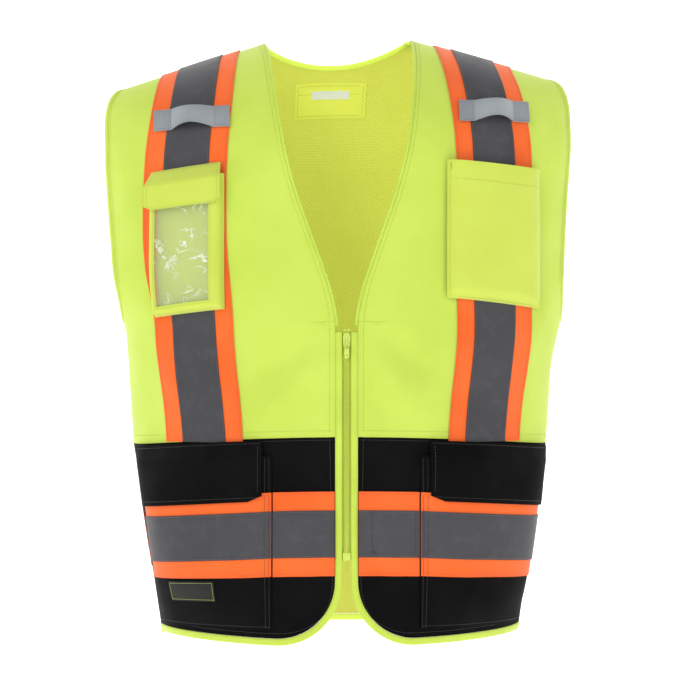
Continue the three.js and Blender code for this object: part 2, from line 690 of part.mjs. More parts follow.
function micTab(name, side) {
  const stepsU = [0, 0.09, 0.18, 0.26, 0.34, 0.42, 0.5, 0.58, 0.66, 0.74, 0.82, 0.91, 1];
  const bow = (u, v) => {
    const t = clamp((u - 0.18) / 0.64, 0, 1);
    return Math.sin(Math.PI * t) * (MIC_BOW - MIC_LEAN * (1 - v));
  };
  const offset = (base) => (i, j) => base + bow(stepsU[i], j);
  return sheet(name, webbing, stepsU.length - 1, 1, (i, j) => {
    const x = lerp(MIC_INNER_X, MIC_OUTER_X, stepsU[i]);
    return frontSpot(side * x, MIC_Z + (j - 0.5) * MIC_HEIGHT);
  }, offset(OVER_TAPES + 0.2), offset(OVER_TAPES + 1.6));
}

// ---- zip ----
const ZIP_Y = -FRONT_DEPTH;
const COIL_BACK_Y = ZIP_Y + 0.3;
const COIL_FRONT_Y = COIL_BACK_Y - COIL_HEIGHT;
const BOX_Y = COIL_BACK_Y - 1.6;
const PIN_X = COIL_GAP + 1.2;

function zipTape(name, side) {
  const inner = COIL_GAP + 1.1;
  const outer = FRONT_EDGE + 5;
  const low = ZIP_BOTTOM_Z - ZIP_TAIL;
  const tape = block(outer - inner, 0.6, ZIP_TOP_Z - low, side * (inner + outer) / 2, COIL_BACK_Y + 0.9,
    (ZIP_TOP_Z + low) / 2);
  return meshFrom(name, tape, nylonTape);
}

function zipCoil(name, side) {
  const pitch = 4;
  const outline = [];
  const turns = Math.floor((ZIP_TOP_Z - 3 - ZIP_BOTTOM_Z) / pitch);
  outline.push([COIL_BACK_Y, ZIP_BOTTOM_Z]);
  for (let k = 0; k < turns; k += 1) {
    const z = ZIP_BOTTOM_Z + k * pitch;
    outline.push([COIL_FRONT_Y + 0.5, z], [COIL_FRONT_Y, z + pitch * 0.35]);
    outline.push([COIL_FRONT_Y, z + pitch * 0.65]);
  }
  const top = ZIP_BOTTOM_Z + turns * pitch;
  outline.push([COIL_FRONT_Y + 0.5, top], [COIL_BACK_Y, top]);
  const shape = new THREE.Shape(outline.map(([y, z]) => new THREE.Vector2(y, z)));
  const geometry = new THREE.ExtrudeGeometry(shape, { depth: COIL_WIDTH, bevelEnabled: false });
  geometry.applyMatrix4(new THREE.Matrix4().makeBasis(
    new THREE.Vector3(0, 1, 0), new THREE.Vector3(0, 0, 1), new THREE.Vector3(1, 0, 0),
  ));
  geometry.translate(side > 0 ? COIL_GAP : -COIL_GAP - COIL_WIDTH, 0, 0);
  return meshFrom(name, solidOf(geometry), zipLime);
}

const SLIDER_Z = ZIP_TOP_Z - 2;
const SLIDER_PLATE_Y = COIL_FRONT_Y - SLIDER_CLEARANCE;
const PULL_PIVOT_Y = SLIDER_PLATE_Y - PLATE - 1.5;
const PULL_PIVOT_Z = SLIDER_Z - SLIDER_LENGTH + 3;

/** Slider: front and back plates joined by a web that runs between the two coils. */
function zipSlider(name) {
  const half = SLIDER_WIDTH / 2;
  const low = SLIDER_Z - SLIDER_LENGTH;
  const outline = [
    [-half * 0.7, SLIDER_Z], [half * 0.7, SLIDER_Z], [half, SLIDER_Z - 4],
    [half * 0.85, low], [-half * 0.85, low], [-half, SLIDER_Z - 4],
  ];
  const front = solidOf(plate(outline, PLATE, SLIDER_PLATE_Y));
  const backY = COIL_BACK_Y + 1.2 + SLIDER_CLEARANCE + PLATE;
  const rear = solidOf(plate(outline, PLATE, backY));
  const webY = (backY - PLATE / 2 + SLIDER_PLATE_Y) / 2;
  const web = block(0.7, backY - SLIDER_PLATE_Y + 0.4, 4, 0, webY, SLIDER_Z - 3);
  const bail = block(1.6, 3.8, 7, 0, SLIDER_PLATE_Y - PLATE - 1.6, PULL_PIVOT_Z + 1.6);
  const slot = block(4, 2.4, 2.8, 0, PULL_PIVOT_Y, PULL_PIVOT_Z);
  return meshFrom(name, front.add(rear).add(web).add(bail).subtract(slot), zipLime);
}

/** Pull tab: a flat tab with a cross bar through the slider's loop and a hole near its end. */
function zipPull(name) {
  const top = PULL_PIVOT_Z + 1;
  const outline = [
    [-2.2, top], [2.2, top], [2.7, top - 14.5], [1.6, top - 17], [-1.6, top - 17], [-2.7, top - 14.5],
  ];
  const tab = solidOf(plate(outline, 1.1, PULL_PIVOT_Y + 0.55));
  const hole = solidOf(new THREE.CylinderGeometry(1, 1, 4, 16).translate(0, PULL_PIVOT_Y, top - 13.6));
  const barHalf = 0.6;
  const gap = block(2.4, 4, 5.4, 0, PULL_PIVOT_Y, PULL_PIVOT_Z - barHalf - 2.7);
  const over = block(2.4, 4, 2, 0, PULL_PIVOT_Y, PULL_PIVOT_Z + barHalf + 1);
  return meshFrom(name, tab.subtract(gap).subtract(over).subtract(hole), zipLime);
}

function topStop(name, side) {
  const z = ZIP_TOP_Z + 1.4;
  const stop = block(2.2, 2.4, 2.6, side * (COIL_GAP + 1.5), COIL_FRONT_Y + 1.2, z);
  return meshFrom(name, stop, zipLime);
}

function insertionPin(name) {
  const height = ZIP_TAIL - 0.5;
  const pin = block(1.8, 1.6, height, -PIN_X, BOX_Y, ZIP_BOTTOM_Z - height / 2 - SEAM_GAP);
  return meshFrom(name, pin, zipLime);
}

/** Retainer box: a small block on the left tape with a socket for the right tape's pin. */
function retainerBox(name) {
  const height = ZIP_TAIL - 2;
  const z = ZIP_BOTTOM_Z - height / 2 - SEAM_GAP - 1.5;
  const box = block(8.4, 3.8, height, 0, BOX_Y, z);
  const socket = block(2.6, 2.4, height + 8, -PIN_X, BOX_Y, z + 3);
  return meshFrom(name, box.subtract(socket), zipLime);
}

// ---- labels ----

function neckPatch(name, material, halfWide, topZ, bottomZ, low, thickness) {
  const columns = 6;
  const rows = 3;
  const wayOf = (z) => CROWN_ARC * (1 - Math.asin((z - CROWN_Z) / (NAPE_RISE - CROWN_Z)) / (Math.PI / 2));
  return sheet(name, material, columns, rows, (i, j) => [
    Math.asin(lerp(-halfWide, halfWide, i / columns) / CHEST_HALF_WIDTH),
    wayOf(lerp(bottomZ, topZ, j / rows)),
  ], low, low + thickness);
}

function vest() {
  const pieces = [];
  for (const [word, side] of [['right', RIGHT], ['left', LEFT]]) {
    pieces.push(
      frontPanel(`${word}_front_panel`, side),
      lowerPanel(`${word}_lower_panel`, side),
      neckBinding(`${word}_neck_binding`, side),
      armholeBinding(`${word}_armhole_binding`, side),
      frontBinding(`${word}_front_binding`, side),
      zipTape(`${word}_zip_tape`, side),
      zipCoil(`${word}_zip_coil`, side),
      topStop(`${word}_top_stop`, side),
      brace(`${word}_brace_backing`, side, orange, BRACE_WIDTH, TAPE_LOW, TAPE),
      brace(`${word}_brace_reflector`, side, silver, BRACE_REFLECTOR_WIDTH, FOIL_LOW, FOIL),
      bandStrip(`${word}_band_backing`, orange, 4, innerBand, BACKING_WIDTH, TAPE_LOW, TAPE, side),
      bandStrip(`${word}_band_reflector`, silver, 4, innerBand, REFLECTOR_WIDTH, FOIL_LOW, FOIL, side),
      onPouch(`${word}_cargo_pouch`, black, side, POUCH_COLUMNS, POUCH_LEVELS, TAPE_LOW, CLOTH - 0.2),
      onPouch(`${word}_pouch_backing`, orange, side, POUCH_COLUMNS, POUCH_LEVELS.slice(4, 8),
        POUCH_FACE + LAYER_GAP, TAPE),
      onPouch(`${word}_pouch_reflector`, silver, side, POUCH_COLUMNS, POUCH_LEVELS.slice(5, 7),
        POUCH_FACE + 2 * LAYER_GAP + TAPE, FOIL),
      onPouch(`${word}_pouch_loop`, hookTape, side, 2, FASTENER_LEVELS,
        POUCH_FACE + LAYER_GAP, HOOK, ...FASTENER_SPAN),
      onPouch(`${word}_flap_hook`, hookTape, side, 2, FASTENER_LEVELS,
        FLAP_LOW - LAYER_GAP - HOOK, HOOK, ...FASTENER_SPAN),
      cargoFlap(`${word}_cargo_flap`, side),
      micTab(`${word}_mic_tab`, side),
    );
  }
  pieces.push(
    backPanel('back_panel'),
    napeBinding('back_neck_binding'),
    backHemBinding('back_hem_binding'),
    bandStrip('back_band_backing', orange, backColumns, backBand, BACKING_WIDTH, TAPE_LOW, TAPE, LEFT, 1),
    bandStrip('back_band_reflector', silver, backColumns, backBand, REFLECTOR_WIDTH, FOIL_LOW, FOIL, LEFT, 1),
    chestPocket('chest_pocket', LEFT),
    idPocket('id_pocket'),
    idWindow('id_window'),
    idFlap('id_flap'),
    idFastener('id_flap_hook', ID_FLAP_LOW - LAYER_GAP - HOOK),
    idFastener('id_pocket_loop', ID_FACE + LAYER_GAP),
    zipSlider('zip_slider'),
    zipPull('zip_pull'),
    insertionPin('zip_insertion_pin'),
    retainerBox('zip_retainer_box'),
    neckPatch('neck_patch', paleLime, 41, -33, -72, -1.7, 1.1),
    neckPatch('neck_label', labelCloth, 22, -41, -50, -2.8, 0.6),
    onPouch('side_label', badge, RIGHT, 4, [-609.4, -586.4], POUCH_FACE + 1.5 * LAYER_GAP, 0.6, 0.34, 0.7),
  );
  const group = new THREE.Group();
  group.name = 'high_visibility_vest';
  group.add(...pieces);
  return group;
}

export default vest();
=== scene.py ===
"""High visibility vest: cloth panels, tapes, pockets, bindings and zip, laid over one torso form."""

import logging
import math
from dataclasses import dataclass, field
from enum import Enum
from typing import Callable, Sequence

import bmesh
import bpy
import numpy as np
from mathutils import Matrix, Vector


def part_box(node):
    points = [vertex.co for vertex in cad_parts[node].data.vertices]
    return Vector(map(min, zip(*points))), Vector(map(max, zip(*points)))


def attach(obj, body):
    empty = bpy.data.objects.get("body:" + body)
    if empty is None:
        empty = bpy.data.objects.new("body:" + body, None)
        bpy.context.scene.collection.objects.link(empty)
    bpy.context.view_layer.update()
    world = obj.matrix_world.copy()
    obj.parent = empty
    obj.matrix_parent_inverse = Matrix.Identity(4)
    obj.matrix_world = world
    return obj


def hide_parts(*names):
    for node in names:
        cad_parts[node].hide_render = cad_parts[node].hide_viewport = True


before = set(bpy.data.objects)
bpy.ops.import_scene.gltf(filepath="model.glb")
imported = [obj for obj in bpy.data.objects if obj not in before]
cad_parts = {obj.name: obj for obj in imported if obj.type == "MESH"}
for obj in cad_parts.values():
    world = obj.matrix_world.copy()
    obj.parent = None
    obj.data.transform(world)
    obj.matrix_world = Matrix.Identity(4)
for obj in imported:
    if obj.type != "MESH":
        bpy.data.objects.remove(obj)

LOG = logging.getLogger("vest")
MM = 0.001
Grid = np.ndarray
Spot = tuple[Grid, Grid]
Placer = Callable[[Grid, Grid], Spot]
Offset = Callable[[Grid, Grid], Grid]


class Side(Enum):
    """The wearer's right and left."""

    RIGHT = -1
    LEFT = 1

    @property
    def word(self) -> str:
        """Name of the side as the pieces carry it."""
        return self.name.lower()


class Slot(Enum):
    """Material slots of the record."""

    TRICOT = "lime_tricot"
    MESH = "lime_mesh"
    BLACK = "black_cloth"
    BINDING = "lime_binding"
    ORANGE = "orange_tape"
    SILVER = "reflective_tape"
    POCKET = "pocket_cloth"
    VINYL = "clear_vinyl"
    WEBBING = "grey_webbing"
    ZIP_TAPE = "zip_tape_cloth"
    ZIP = "zip_plastic"
    HOOK = "hook_and_loop"
    LABEL = "label_cloth"
    BADGE = "badge_cloth"


# ---------------------------------------------------------------- measures


def lerp(a: Grid, b: Grid, t: Grid) -> Grid:
    """Value a share t of the way from a to b."""
    return a + (b - a) * t


def smooth(value: Grid, low: float, high: float) -> Grid:
    """Smooth step from 0 at low to 1 at high."""
    t = np.clip((np.asarray(value, float) - low) / (high - low), 0, 1)
    return t * t * (3 - 2 * t)


def steps(*marks: float, pitch: float) -> Grid:
    """Points through the marks, no further apart than the pitch.

    Args:
        marks: Places that must be met exactly, in order.
        pitch: Greatest distance between two points.

    Returns:
        The points as one array.
    """
    out: list[float] = []
    for low, high in zip(marks, marks[1:]):
        count = max(1, math.ceil(abs(high - low) / pitch))
        out.extend(low + (high - low) * k / count for k in range(count))
    return np.array([*out, marks[-1]])


@dataclass(frozen=True)
class Curve:
    """Smooth curve through (place, value) points."""

    points: tuple[tuple[float, float], ...]

    def __call__(self, place: Grid) -> Grid:
        """Value of the curve at each place."""
        spots = np.array(self.points)
        before = np.vstack([spots[:1], spots[:-1]])
        after = np.vstack([spots[1:], spots[-1:]])
        slope = (after[:, 1] - before[:, 1]) / (after[:, 0] - before[:, 0])
        at = np.clip(np.asarray(place, float), spots[0, 0], spots[-1, 0])
        i = np.clip(np.searchsorted(spots[:, 0], at, side="right") - 1, 0, len(spots) - 2)
        span = spots[i + 1, 0] - spots[i, 0]
        t = (at - spots[i, 0]) / span
        t2, t3 = t * t, t * t * t
        return (
            (2 * t3 - 3 * t2 + 1) * spots[i, 1]
            + (t3 - 2 * t2 + t) * span * slope[i]
            + (3 * t2 - 2 * t3) * spots[i + 1, 1]
            + (t3 - t2) * span * slope[i + 1]
        )


@dataclass(frozen=True)
class Fold:
    """One soft fold of the cloth, in millimetres as seen from the front or the back."""

    x: float
    z: float
    height: float
    width: float
    length: float
    lean: float = 0.0

    def rise(self, x: Grid, z: Grid) -> Grid:
        """Height of the fold at each place; lean is its angle from the vertical in degrees."""
        turn = math.radians(self.lean)
        dx, dz = x - self.x, z - self.z
        off = dx * math.cos(turn) + dz * math.sin(turn)
        along = -dx * math.sin(turn) + dz * math.cos(turn)
        return self.height * np.exp(-((off / self.width) ** 2) - (along / self.length) ** 2)


FRONT_FOLDS = (
    Fold(-66, -385, 3.0, 13, 62, -46),
    Fold(-70, -352, -2.6, 11, 55, -58),
    Fold(-40, -408, -1.8, 10, 44, -30),
    Fold(62, -382, 2.8, 13, 58, 44),
    Fold(72, -350, -2.4, 12, 54, 56),
    Fold(38, -404, -1.8, 10, 40, 28),
    Fold(-98, -250, 2.4, 22, 95, 7),
    Fold(-62, -215, -2.0, 18, 90, 12),
    Fold(86, -225, 2.0, 20, 95, -8),
    Fold(58, -262, -1.8, 16, 80, -14),
    Fold(-108, -405, 1.6, 12, 46, 6),
    Fold(112, -398, 1.8, 13, 50, -8),
    Fold(-206, -345, 2.4, 11, 62, 16),
    Fold(-222, -400, -1.6, 9, 50, 6),
    Fold(216, -336, 2.6, 11, 70, -14),
    Fold(202, -392, -1.6, 9, 44, -4),
    Fold(-226, -150, 1.8, 10, 70, 2),
    Fold(226, -160, 2.2, 9, 95, -3),
    Fold(-158, -452, 1.5, 6, 30, 14),
    Fold(-138, -462, -1.2, 6, 32, 4),
    Fold(-118, -458, 1.3, 7, 34, -10),
    Fold(100, -466, 1.5, 8, 38, -18),
    Fold(160, -470, 1.1, 9, 34, 8),
    Fold(-50, -604, 2.6, 13, 66, -6),
    Fold(-120, -612, 1.8, 15, 40, 5),
    Fold(-32, -560, -1.6, 9, 50, 3),
    Fold(64, -596, 2.2, 12, 60, 8),
    Fold(108, -610, -1.5, 11, 44, -6),
    Fold(150, -604, 1.7, 14, 42, 4),
)

BACK_FOLDS = (
    Fold(-96, -220, 3.0, 20, 120, 9),
    Fold(-42, -300, -2.2, 18, 110, 4),
    Fold(30, -210, 2.6, 20, 130, -6),
    Fold(92, -290, -2.4, 18, 110, -9),
    Fold(150, -240, 2.2, 16, 120, -5),
    Fold(-165, -330, 2.4, 15, 110, 6),
    Fold(-70, -430, 2.2, 16, 80, -10),
    Fold(60, -450, 2.4, 17, 80, 12),
    Fold(-120, -600, 2.6, 15, 60, 3),
    Fold(-20, -606, -2.0, 13, 60, -5),
    Fold(44, -600, 2.4, 14, 60, 4),
    Fold(132, -606, -1.8, 13, 54, -3),
    Fold(0, -120, 2.0, 42, 60, 88),
)


@dataclass(frozen=True)
class Torso:
    """The form the vest hangs on, in millimetres, and the folds that all its layers share."""

    front_depth: float = 135.0
    back_depth: float = 115.0
    chest: float = 250.0
    waist: float = 229.5
    hem: float = 197.0
    crown_z: float = -130.0
    waist_z: float = -446.0
    end_z: float = -660.0
    crown_arc: float = 175.0
    flare: float = 17.5
    neck: float = 85.0
    slope: float = 0.3
    nape: float = 6.0
    tilt: float = 0.029
    sway: float = 4.4

    def half_width(self, z: Grid) -> Grid:
        """Half width of the torso at a height."""
        z = np.asarray(z, float)
        return np.interp(
            -z, [-self.crown_z, -self.waist_z, -self.end_z], [self.chest, self.waist, self.hem]
        )

    def ridge(self, x: Grid) -> Grid:
        """Height of the shoulder ridge at a distance from the middle."""
        reach = np.abs(x)
        return np.where(
            reach > self.neck,
            -(reach - self.neck) * self.slope,
            self.nape * (1 - (reach / self.neck) ** 2),
        )

    def point(self, angle: Grid, way: Grid) -> Grid:
        """Points of the torso at an angle round it and a way down from the shoulder ridge."""
        angle, way = np.broadcast_arrays(np.asarray(angle, float), np.asarray(way, float))
        reach = np.abs(way)
        z = np.minimum(self.crown_z, self.crown_z - (reach - self.crown_arc))
        s = np.sin(angle)
        x = self.half_width(z) * s + self.flare * smooth(z, np.where(s < 0, -325, -370), -250) * np.sign(s) * s**6
        depth = np.where(way > 0, self.back_depth, -self.front_depth) * np.cos(angle)
        climb = np.clip(1 - reach / self.crown_arc, 0, 1) * math.pi / 2
        over = reach < self.crown_arc
        high = self.crown_z + (self.ridge(x) - self.crown_z) * np.sin(climb)
        depth = np.where(over, depth * np.cos(climb), depth)
        x = x - self.sway * (1 + depth / self.front_depth) * smooth(z, -340, -240)
        z = np.where(over, high, z)
        z = z + self.tilt * x * smooth(z, -330, -100)
        return np.stack([x, depth, z], axis=-1)

    def normal(self, angle: Grid, way: Grid) -> Grid:
        """Outward unit normals of the torso."""
        angle, way = np.broadcast_arrays(np.asarray(angle, float), np.asarray(way, float))
        inward = np.where(way > 0, -1.0, 1.0)
        behind = np.where(np.abs(way) < 1, 0.0, 1.0)
        up = self.point(angle, way + inward) - self.point(angle, way - inward * behind)
        across = self.point(angle + 0.002, way) - self.point(angle - 0.002, way)
        normal = np.cross(across, up)
        normal /= np.linalg.norm(normal, axis=-1, keepdims=True)
        here = self.point(angle, way)
        middle = np.zeros_like(here)
        middle[..., 2] = np.minimum(here[..., 2], self.crown_z)
        facing = np.sum(normal * (here - middle), axis=-1, keepdims=True)
        return np.where(facing < 0, -normal, normal)

    def relief(self, angle: Grid, way: Grid) -> Grid:
        """How far the folds lift the cloth off the torso, in millimetres."""
        angle, way = np.broadcast_arrays(np.asarray(angle, float), np.asarray(way, float))
        x = self.chest * np.sin(angle)
        z = 45 - np.abs(way)
        front = sum(f.rise(x, z) for f in FRONT_FOLDS)
        back = sum(f.rise(x, z) for f in BACK_FOLDS)
        still = smooth(np.abs(x), 15, 48)
        still = np.where(z > -312, 1.0, still)
        held = smooth(np.abs(way), 10, 70) * smooth(math.pi / 2 - np.abs(angle), 0, 0.2)
        wander = 0.5 * np.sin(x / 23 + z / 61) * np.sin(z / 37 - x / 90)
        return held * np.where(way > 0, back + wander, (front + wander) * still)

    def lifted(self, angle: Grid, way: Grid, offset: Grid) -> Grid:
        """Points that stand an offset off the folded torso, in millimetres."""
        rise = np.asarray(offset, float) + self.relief(angle, way)
        return self.point(angle, way) + self.normal(angle, way) * rise[..., None]

    def front_spot(self, x: Grid, z: Grid) -> Spot:
        """Angle and way of a place on the front given as seen from the front."""
        x, z = np.broadcast_arrays(np.asarray(x, float), np.asarray(z, float))
        angle = np.arcsin(np.clip(x / self.half_width(z), -1, 1))
        top = self.ridge(x) - self.crown_z
        climb = np.arcsin(np.clip((z - self.crown_z) / top, 0, 1))
        high = -self.crown_arc * (1 - climb / (math.pi / 2))
        return angle, np.where(z <= self.crown_z, -self.down(z), high)

    def down(self, z: Grid) -> Grid:
        """Way from the shoulder ridge down to a height below the chest."""
        return self.crown_arc + self.crown_z - np.asarray(z, float)

    def dip(self, x: Grid, z: Grid, depth: float) -> Grid:
        """How far a level line sinks away from the middle."""
        return depth * (np.asarray(x, float) / self.half_width(z)) ** 2

    def arc(self, angle: Grid) -> Grid:
        """Cloth length round the torso from the middle to an angle, in millimetres."""
        table = np.linspace(0, math.pi / 2, 200)
        rate = np.hypot(230 * np.cos(table), 125 * np.sin(table))
        total = np.concatenate([[0], np.cumsum((rate[1:] + rate[:-1]) / 2 * np.diff(table))])
        return np.sign(angle) * np.interp(np.abs(angle), table, total)


TORSO = Torso()


@dataclass(frozen=True)
class Pattern:
    """Sizes of the pattern pieces and layers, in millimetres."""

    cloth: float = 1.4
    tape: float = 0.8
    foil: float = 0.6
    hook: float = 0.7
    gap: float = 0.6
    seam_gap: float = 0.4
    seam_angle: float = 0.002
    front_edge: float = 12.3
    binding: float = 7.3
    seam_z: float = -434.5
    waist_dip: float = 11.0
    chest_dip: float = 20.0
    hem_z: float = -650.0
    corner: float = 62.0
    underarm_z: float = -312.0
    flare_z: float = -250.0
    band_z: float = -537.5
    backing: float = 90.0
    reflector: float = 50.0
    brace_backing: float = 82.0
    brace_reflector: float = 45.0
    zip_top: float = -322.0
    zip_bottom: float = -556.0
    pouch_top: float = -453.0

    @property
    def tape_low(self) -> float:
        """Inner face of the tapes."""
        return self.cloth + self.gap + 0.25

    @property
    def foil_low(self) -> float:
        """Inner face of the reflective tapes."""
        return self.tape_low + self.tape + self.gap

    @property
    def over_tapes(self) -> float:
        """Inner face of what lies over the tapes."""
        return self.foil_low + self.foil + self.gap

    @property
    def pouch_face(self) -> float:
        """Outer face of a cargo pouch at its edges."""
        return self.tape_low + self.cloth - 0.2

    @property
    def flap_low(self) -> float:
        """Inner face of a cargo flap."""
        return self.pouch_face + 2 * self.hook + 3 * self.gap

    @property
    def pocket_face(self) -> float:
        """Outer face of a chest pocket at its edges."""
        return self.over_tapes + self.cloth

    @property
    def id_flap_low(self) -> float:
        """Inner face of the identity pocket's flap."""
        return self.pocket_face + 2 * self.hook + 3 * self.gap


CUT = Pattern()

NECK_EDGE = Curve(
    (
        (0, 85),
        (90, 80),
        (126, 76),
        (166, 69.2),
        (200, 61),
        (227, 53),
        (265, 39.4),
        (307, 24.5),
        (328, 18),
        (350, 13.6),
        (367, 12.3),
    )
)
BRACE_CENTRE = Curve(
    (
        (0, 148),
        (50, 150),
        (103, 155.5),
        (175, 162.5),
        (250, 163.5),
        (330, 161),
        (375, 160),
        (410, 157),
        (440, 153.5),
        (475, 150.5),
        (560, 147),
    )
)
TIP = math.radians(64.5)
ARMHOLE = math.radians(73)


def side_angle(reach: Grid) -> Grid:
    """Angle of the armhole and side seam edge at a way down from the ridge."""
    reach = np.asarray(reach, float)
    z = 45 - reach
    drop = np.clip((CUT.flare_z - z) / (CUT.flare_z - CUT.underarm_z), 0, 1)
    round_out = lerp(ARMHOLE, math.pi / 2, 1 - np.sqrt(1 - drop * drop))
    near = np.maximum(0, 1 - reach / 107)
    upper = ARMHOLE - (ARMHOLE - TIP) * near**1.5
    return np.where(z < CUT.flare_z, round_out, upper)


def hem_dip(x: Grid) -> Grid:
    """How far the front hem rises towards the side."""
    return 6 * (np.asarray(x, float) / TORSO.hem) ** 2


def front_hem(t: Grid) -> Spot:
    """Angle and height along a front half's bottom edge: down, round the corner, out to the side."""
    t = np.asarray(t, float)
    turn = 0.45
    cx, cz = CUT.front_edge + CUT.corner, CUT.hem_z + CUT.corner
    a = np.clip(t / turn, 0, 1) * math.pi / 2
    z1 = cz - CUT.corner * np.sin(a)
    angle1 = np.arcsin((cx - CUT.corner * np.cos(a)) / TORSO.half_width(z1))
    out = np.clip((t - turn) / (1 - turn), 0, 1)
    start = math.asin(cx / float(TORSO.half_width(CUT.hem_z)))
    angle2 = lerp(start, math.pi / 2 - CUT.seam_angle, out)
    x2 = TORSO.half_width(CUT.hem_z) * np.sin(angle2)
    z2 = CUT.hem_z + hem_dip(x2) - hem_dip(cx)
    return np.where(t < turn, angle1, angle2), np.where(t < turn, z1, z2)


def nape_way(x: Grid) -> Grid:
    """Way down to the back neckline at a distance from the middle."""
    z = -21 * (1 - (np.asarray(x, float) / TORSO.neck) ** 2)
    top = TORSO.ridge(x) - TORSO.crown_z
    climb = np.arcsin(np.clip((z - TORSO.crown_z) / top, 0, 1))
    return np.maximum(CUT.seam_gap / 2, TORSO.crown_arc * (1 - climb / (math.pi / 2)))


# ---------------------------------------------------------------- cloth in mesh code


def mesh_object(name: str, points: Grid, faces: Sequence[Sequence[int]]) -> bpy.types.Object:
    """Mesh object from points in millimetres, facing out, with smooth faces.

    Args:
        name: Name of the piece.
        points: Vertices, one row each.
        faces: Vertex numbers of each face.

    Returns:
        The new object, linked to the scene.
    """
    mesh = bpy.data.meshes.new(name)
    mesh.from_pydata((points * MM).tolist(), [], faces)
    mesh.validate()
    made = bmesh.new()
    made.from_mesh(mesh)
    bmesh.ops.recalc_face_normals(made, faces=made.faces)
    if made.calc_volume(signed=True) < 0:
        bmesh.ops.reverse_faces(made, faces=made.faces)
    made.to_mesh(mesh)
    made.free()
    mesh.shade_smooth()
    piece = bpy.data.objects.new(name, mesh)
    bpy.context.scene.collection.objects.link(piece)
    return piece


def lay_uv(piece: bpy.types.Object, name: str, spots: Grid) -> None:
    """Stores two numbers per vertex, in metres, as a map the finishes read."""
    layer = piece.data.uv_layers.new(name=name)
    loops = np.zeros(len(piece.data.loops), int)
    piece.data.loops.foreach_get("vertex_index", loops)
    layer.data.foreach_set("uv", spots[loops].astype(np.float32).ravel())


def sharpen(piece: bpy.types.Object, degrees: float = 50) -> None:
    """Keeps the piece's hard edges crisp under smooth shading."""
    piece.data.set_sharp_from_angle(angle=math.radians(degrees))


@dataclass
class Sheet:
    """A flat pattern piece laid over the torso between two offsets.

    at gives angle and way for shares across (u) and up (v); low and high are the
    offsets of its two faces; kept says which cells are cloth, for a cut-out.
    """

    name: str
    at: Placer
    us: Grid
    vs: Grid
    low: Offset
    high: Offset
    kept: Callable[[Grid, Grid], Grid] | None = None
    seam_scale: float = 1.0
    area_m2: float = field(default=0.0, init=False)
    size_m: tuple[float, float] = field(default=(0.0, 0.0), init=False)

    def build(self) -> bpy.types.Object:
        """Makes the closed cloth mesh with its two maps."""
        u, v = np.meshgrid(self.us, self.vs)
        angle, way = self.at(u, v)
        low, high = self.low(u, v), self.high(u, v)
        under = TORSO.lifted(angle, way, low)
        over = TORSO.lifted(angle, way, high)
        middle = TORSO.lifted(angle, way, (low + high) / 2)
        rows, columns = u.shape
        cells = np.ones((rows - 1, columns - 1), bool)
        if self.kept is not None:
            mid_u = (u[:-1, :-1] + u[1:, 1:]) / 2
            mid_v = (v[:-1, :-1] + v[1:, 1:]) / 2
            cells = self.kept(mid_u, mid_v)
        faces = self._faces(cells, rows, columns)
        points = np.concatenate([under.reshape(-1, 3), over.reshape(-1, 3)])
        used = np.unique(np.array(faces))
        number = np.full(len(points), -1)
        number[used] = np.arange(len(used))
        piece = mesh_object(self.name, points[used], number[np.array(faces)].tolist())
        cloth = np.stack([TORSO.arc(angle) * MM, way * MM], axis=-1).reshape(-1, 2)
        seam = self._seam(middle, u, v)
        lay_uv(piece, "cloth", np.concatenate([cloth, cloth])[used])
        lay_uv(piece, "seam", np.concatenate([seam, seam])[used])
        sharpen(piece)
        self._measure(middle, cells)
        return piece

    @staticmethod
    def _faces(cells: Grid, rows: int, columns: int) -> list[list[int]]:
        """Faces of the two sides and of the rims."""
        layer = rows * columns
        j, i = np.nonzero(cells)
        a = j * columns + i
        b, c, d = a + 1, a + 1 + columns, a + columns
        faces = [np.stack([a, b, c, d], 1) + layer, np.stack([d, c, b, a], 1)]
        pad = np.pad(cells, 1)
        edges = (
            (pad[:-2, 1:-1], a, b),
            (pad[2:, 1:-1], c, d),
            (pad[1:-1, :-2], d, a),
            (pad[1:-1, 2:], b, c),
        )
        for beside, start, end in edges:
            open_side = ~beside[j, i]
            s, e = start[open_side], end[open_side]
            faces.append(np.stack([s, e, e + layer, s + layer], 1))
        return np.concatenate(faces).tolist()

    def _seam(self, middle: Grid, u: Grid, v: Grid) -> Grid:
        """Distance to the nearest edge, and the run along the piece, in metres."""
        across = np.linalg.norm(np.diff(middle, axis=1), axis=-1)
        up = np.linalg.norm(np.diff(middle, axis=0), axis=-1)
        left = np.pad(np.cumsum(across, axis=1), ((0, 0), (1, 0)))
        below = np.pad(np.cumsum(up, axis=0), ((1, 0), (0, 0)))
        right = left[:, -1:] - left
        above = below[-1:, :] - below
        near = np.minimum(np.minimum(left, right), np.minimum(below, above))
        run = left * 0.7 + below
        return np.stack([near * MM * self.seam_scale, run * MM], axis=-1).reshape(-1, 2)

    def _measure(self, middle: Grid, cells: Grid) -> None:
        """Works out the cut's flat area and its outer size."""
        diagonal1 = middle[1:, 1:] - middle[:-1, :-1]
        diagonal2 = middle[1:, :-1] - middle[:-1, 1:]
        areas = np.linalg.norm(np.cross(diagonal1, diagonal2), axis=-1) / 2
        self.area_m2 = float((areas * cells).sum()) * MM * MM
        width = np.linalg.norm(np.diff(middle, axis=1), axis=-1).sum(axis=1).max()
        length = np.linalg.norm(np.diff(middle, axis=0), axis=-1).sum(axis=0).max()
        self.size_m = (max(0.0101, width * MM), max(0.0101, length * MM))

    def line(self, u: float | Grid, v: float | Grid, lift: float = 0.0) -> Grid:
        """Points on the outer face along shares u and v, in millimetres."""
        u, v = np.broadcast_arrays(np.asarray(u, float), np.asarray(v, float))
        angle, way = self.at(u, v)
        return TORSO.lifted(angle, way, self.high(u, v) + lift)


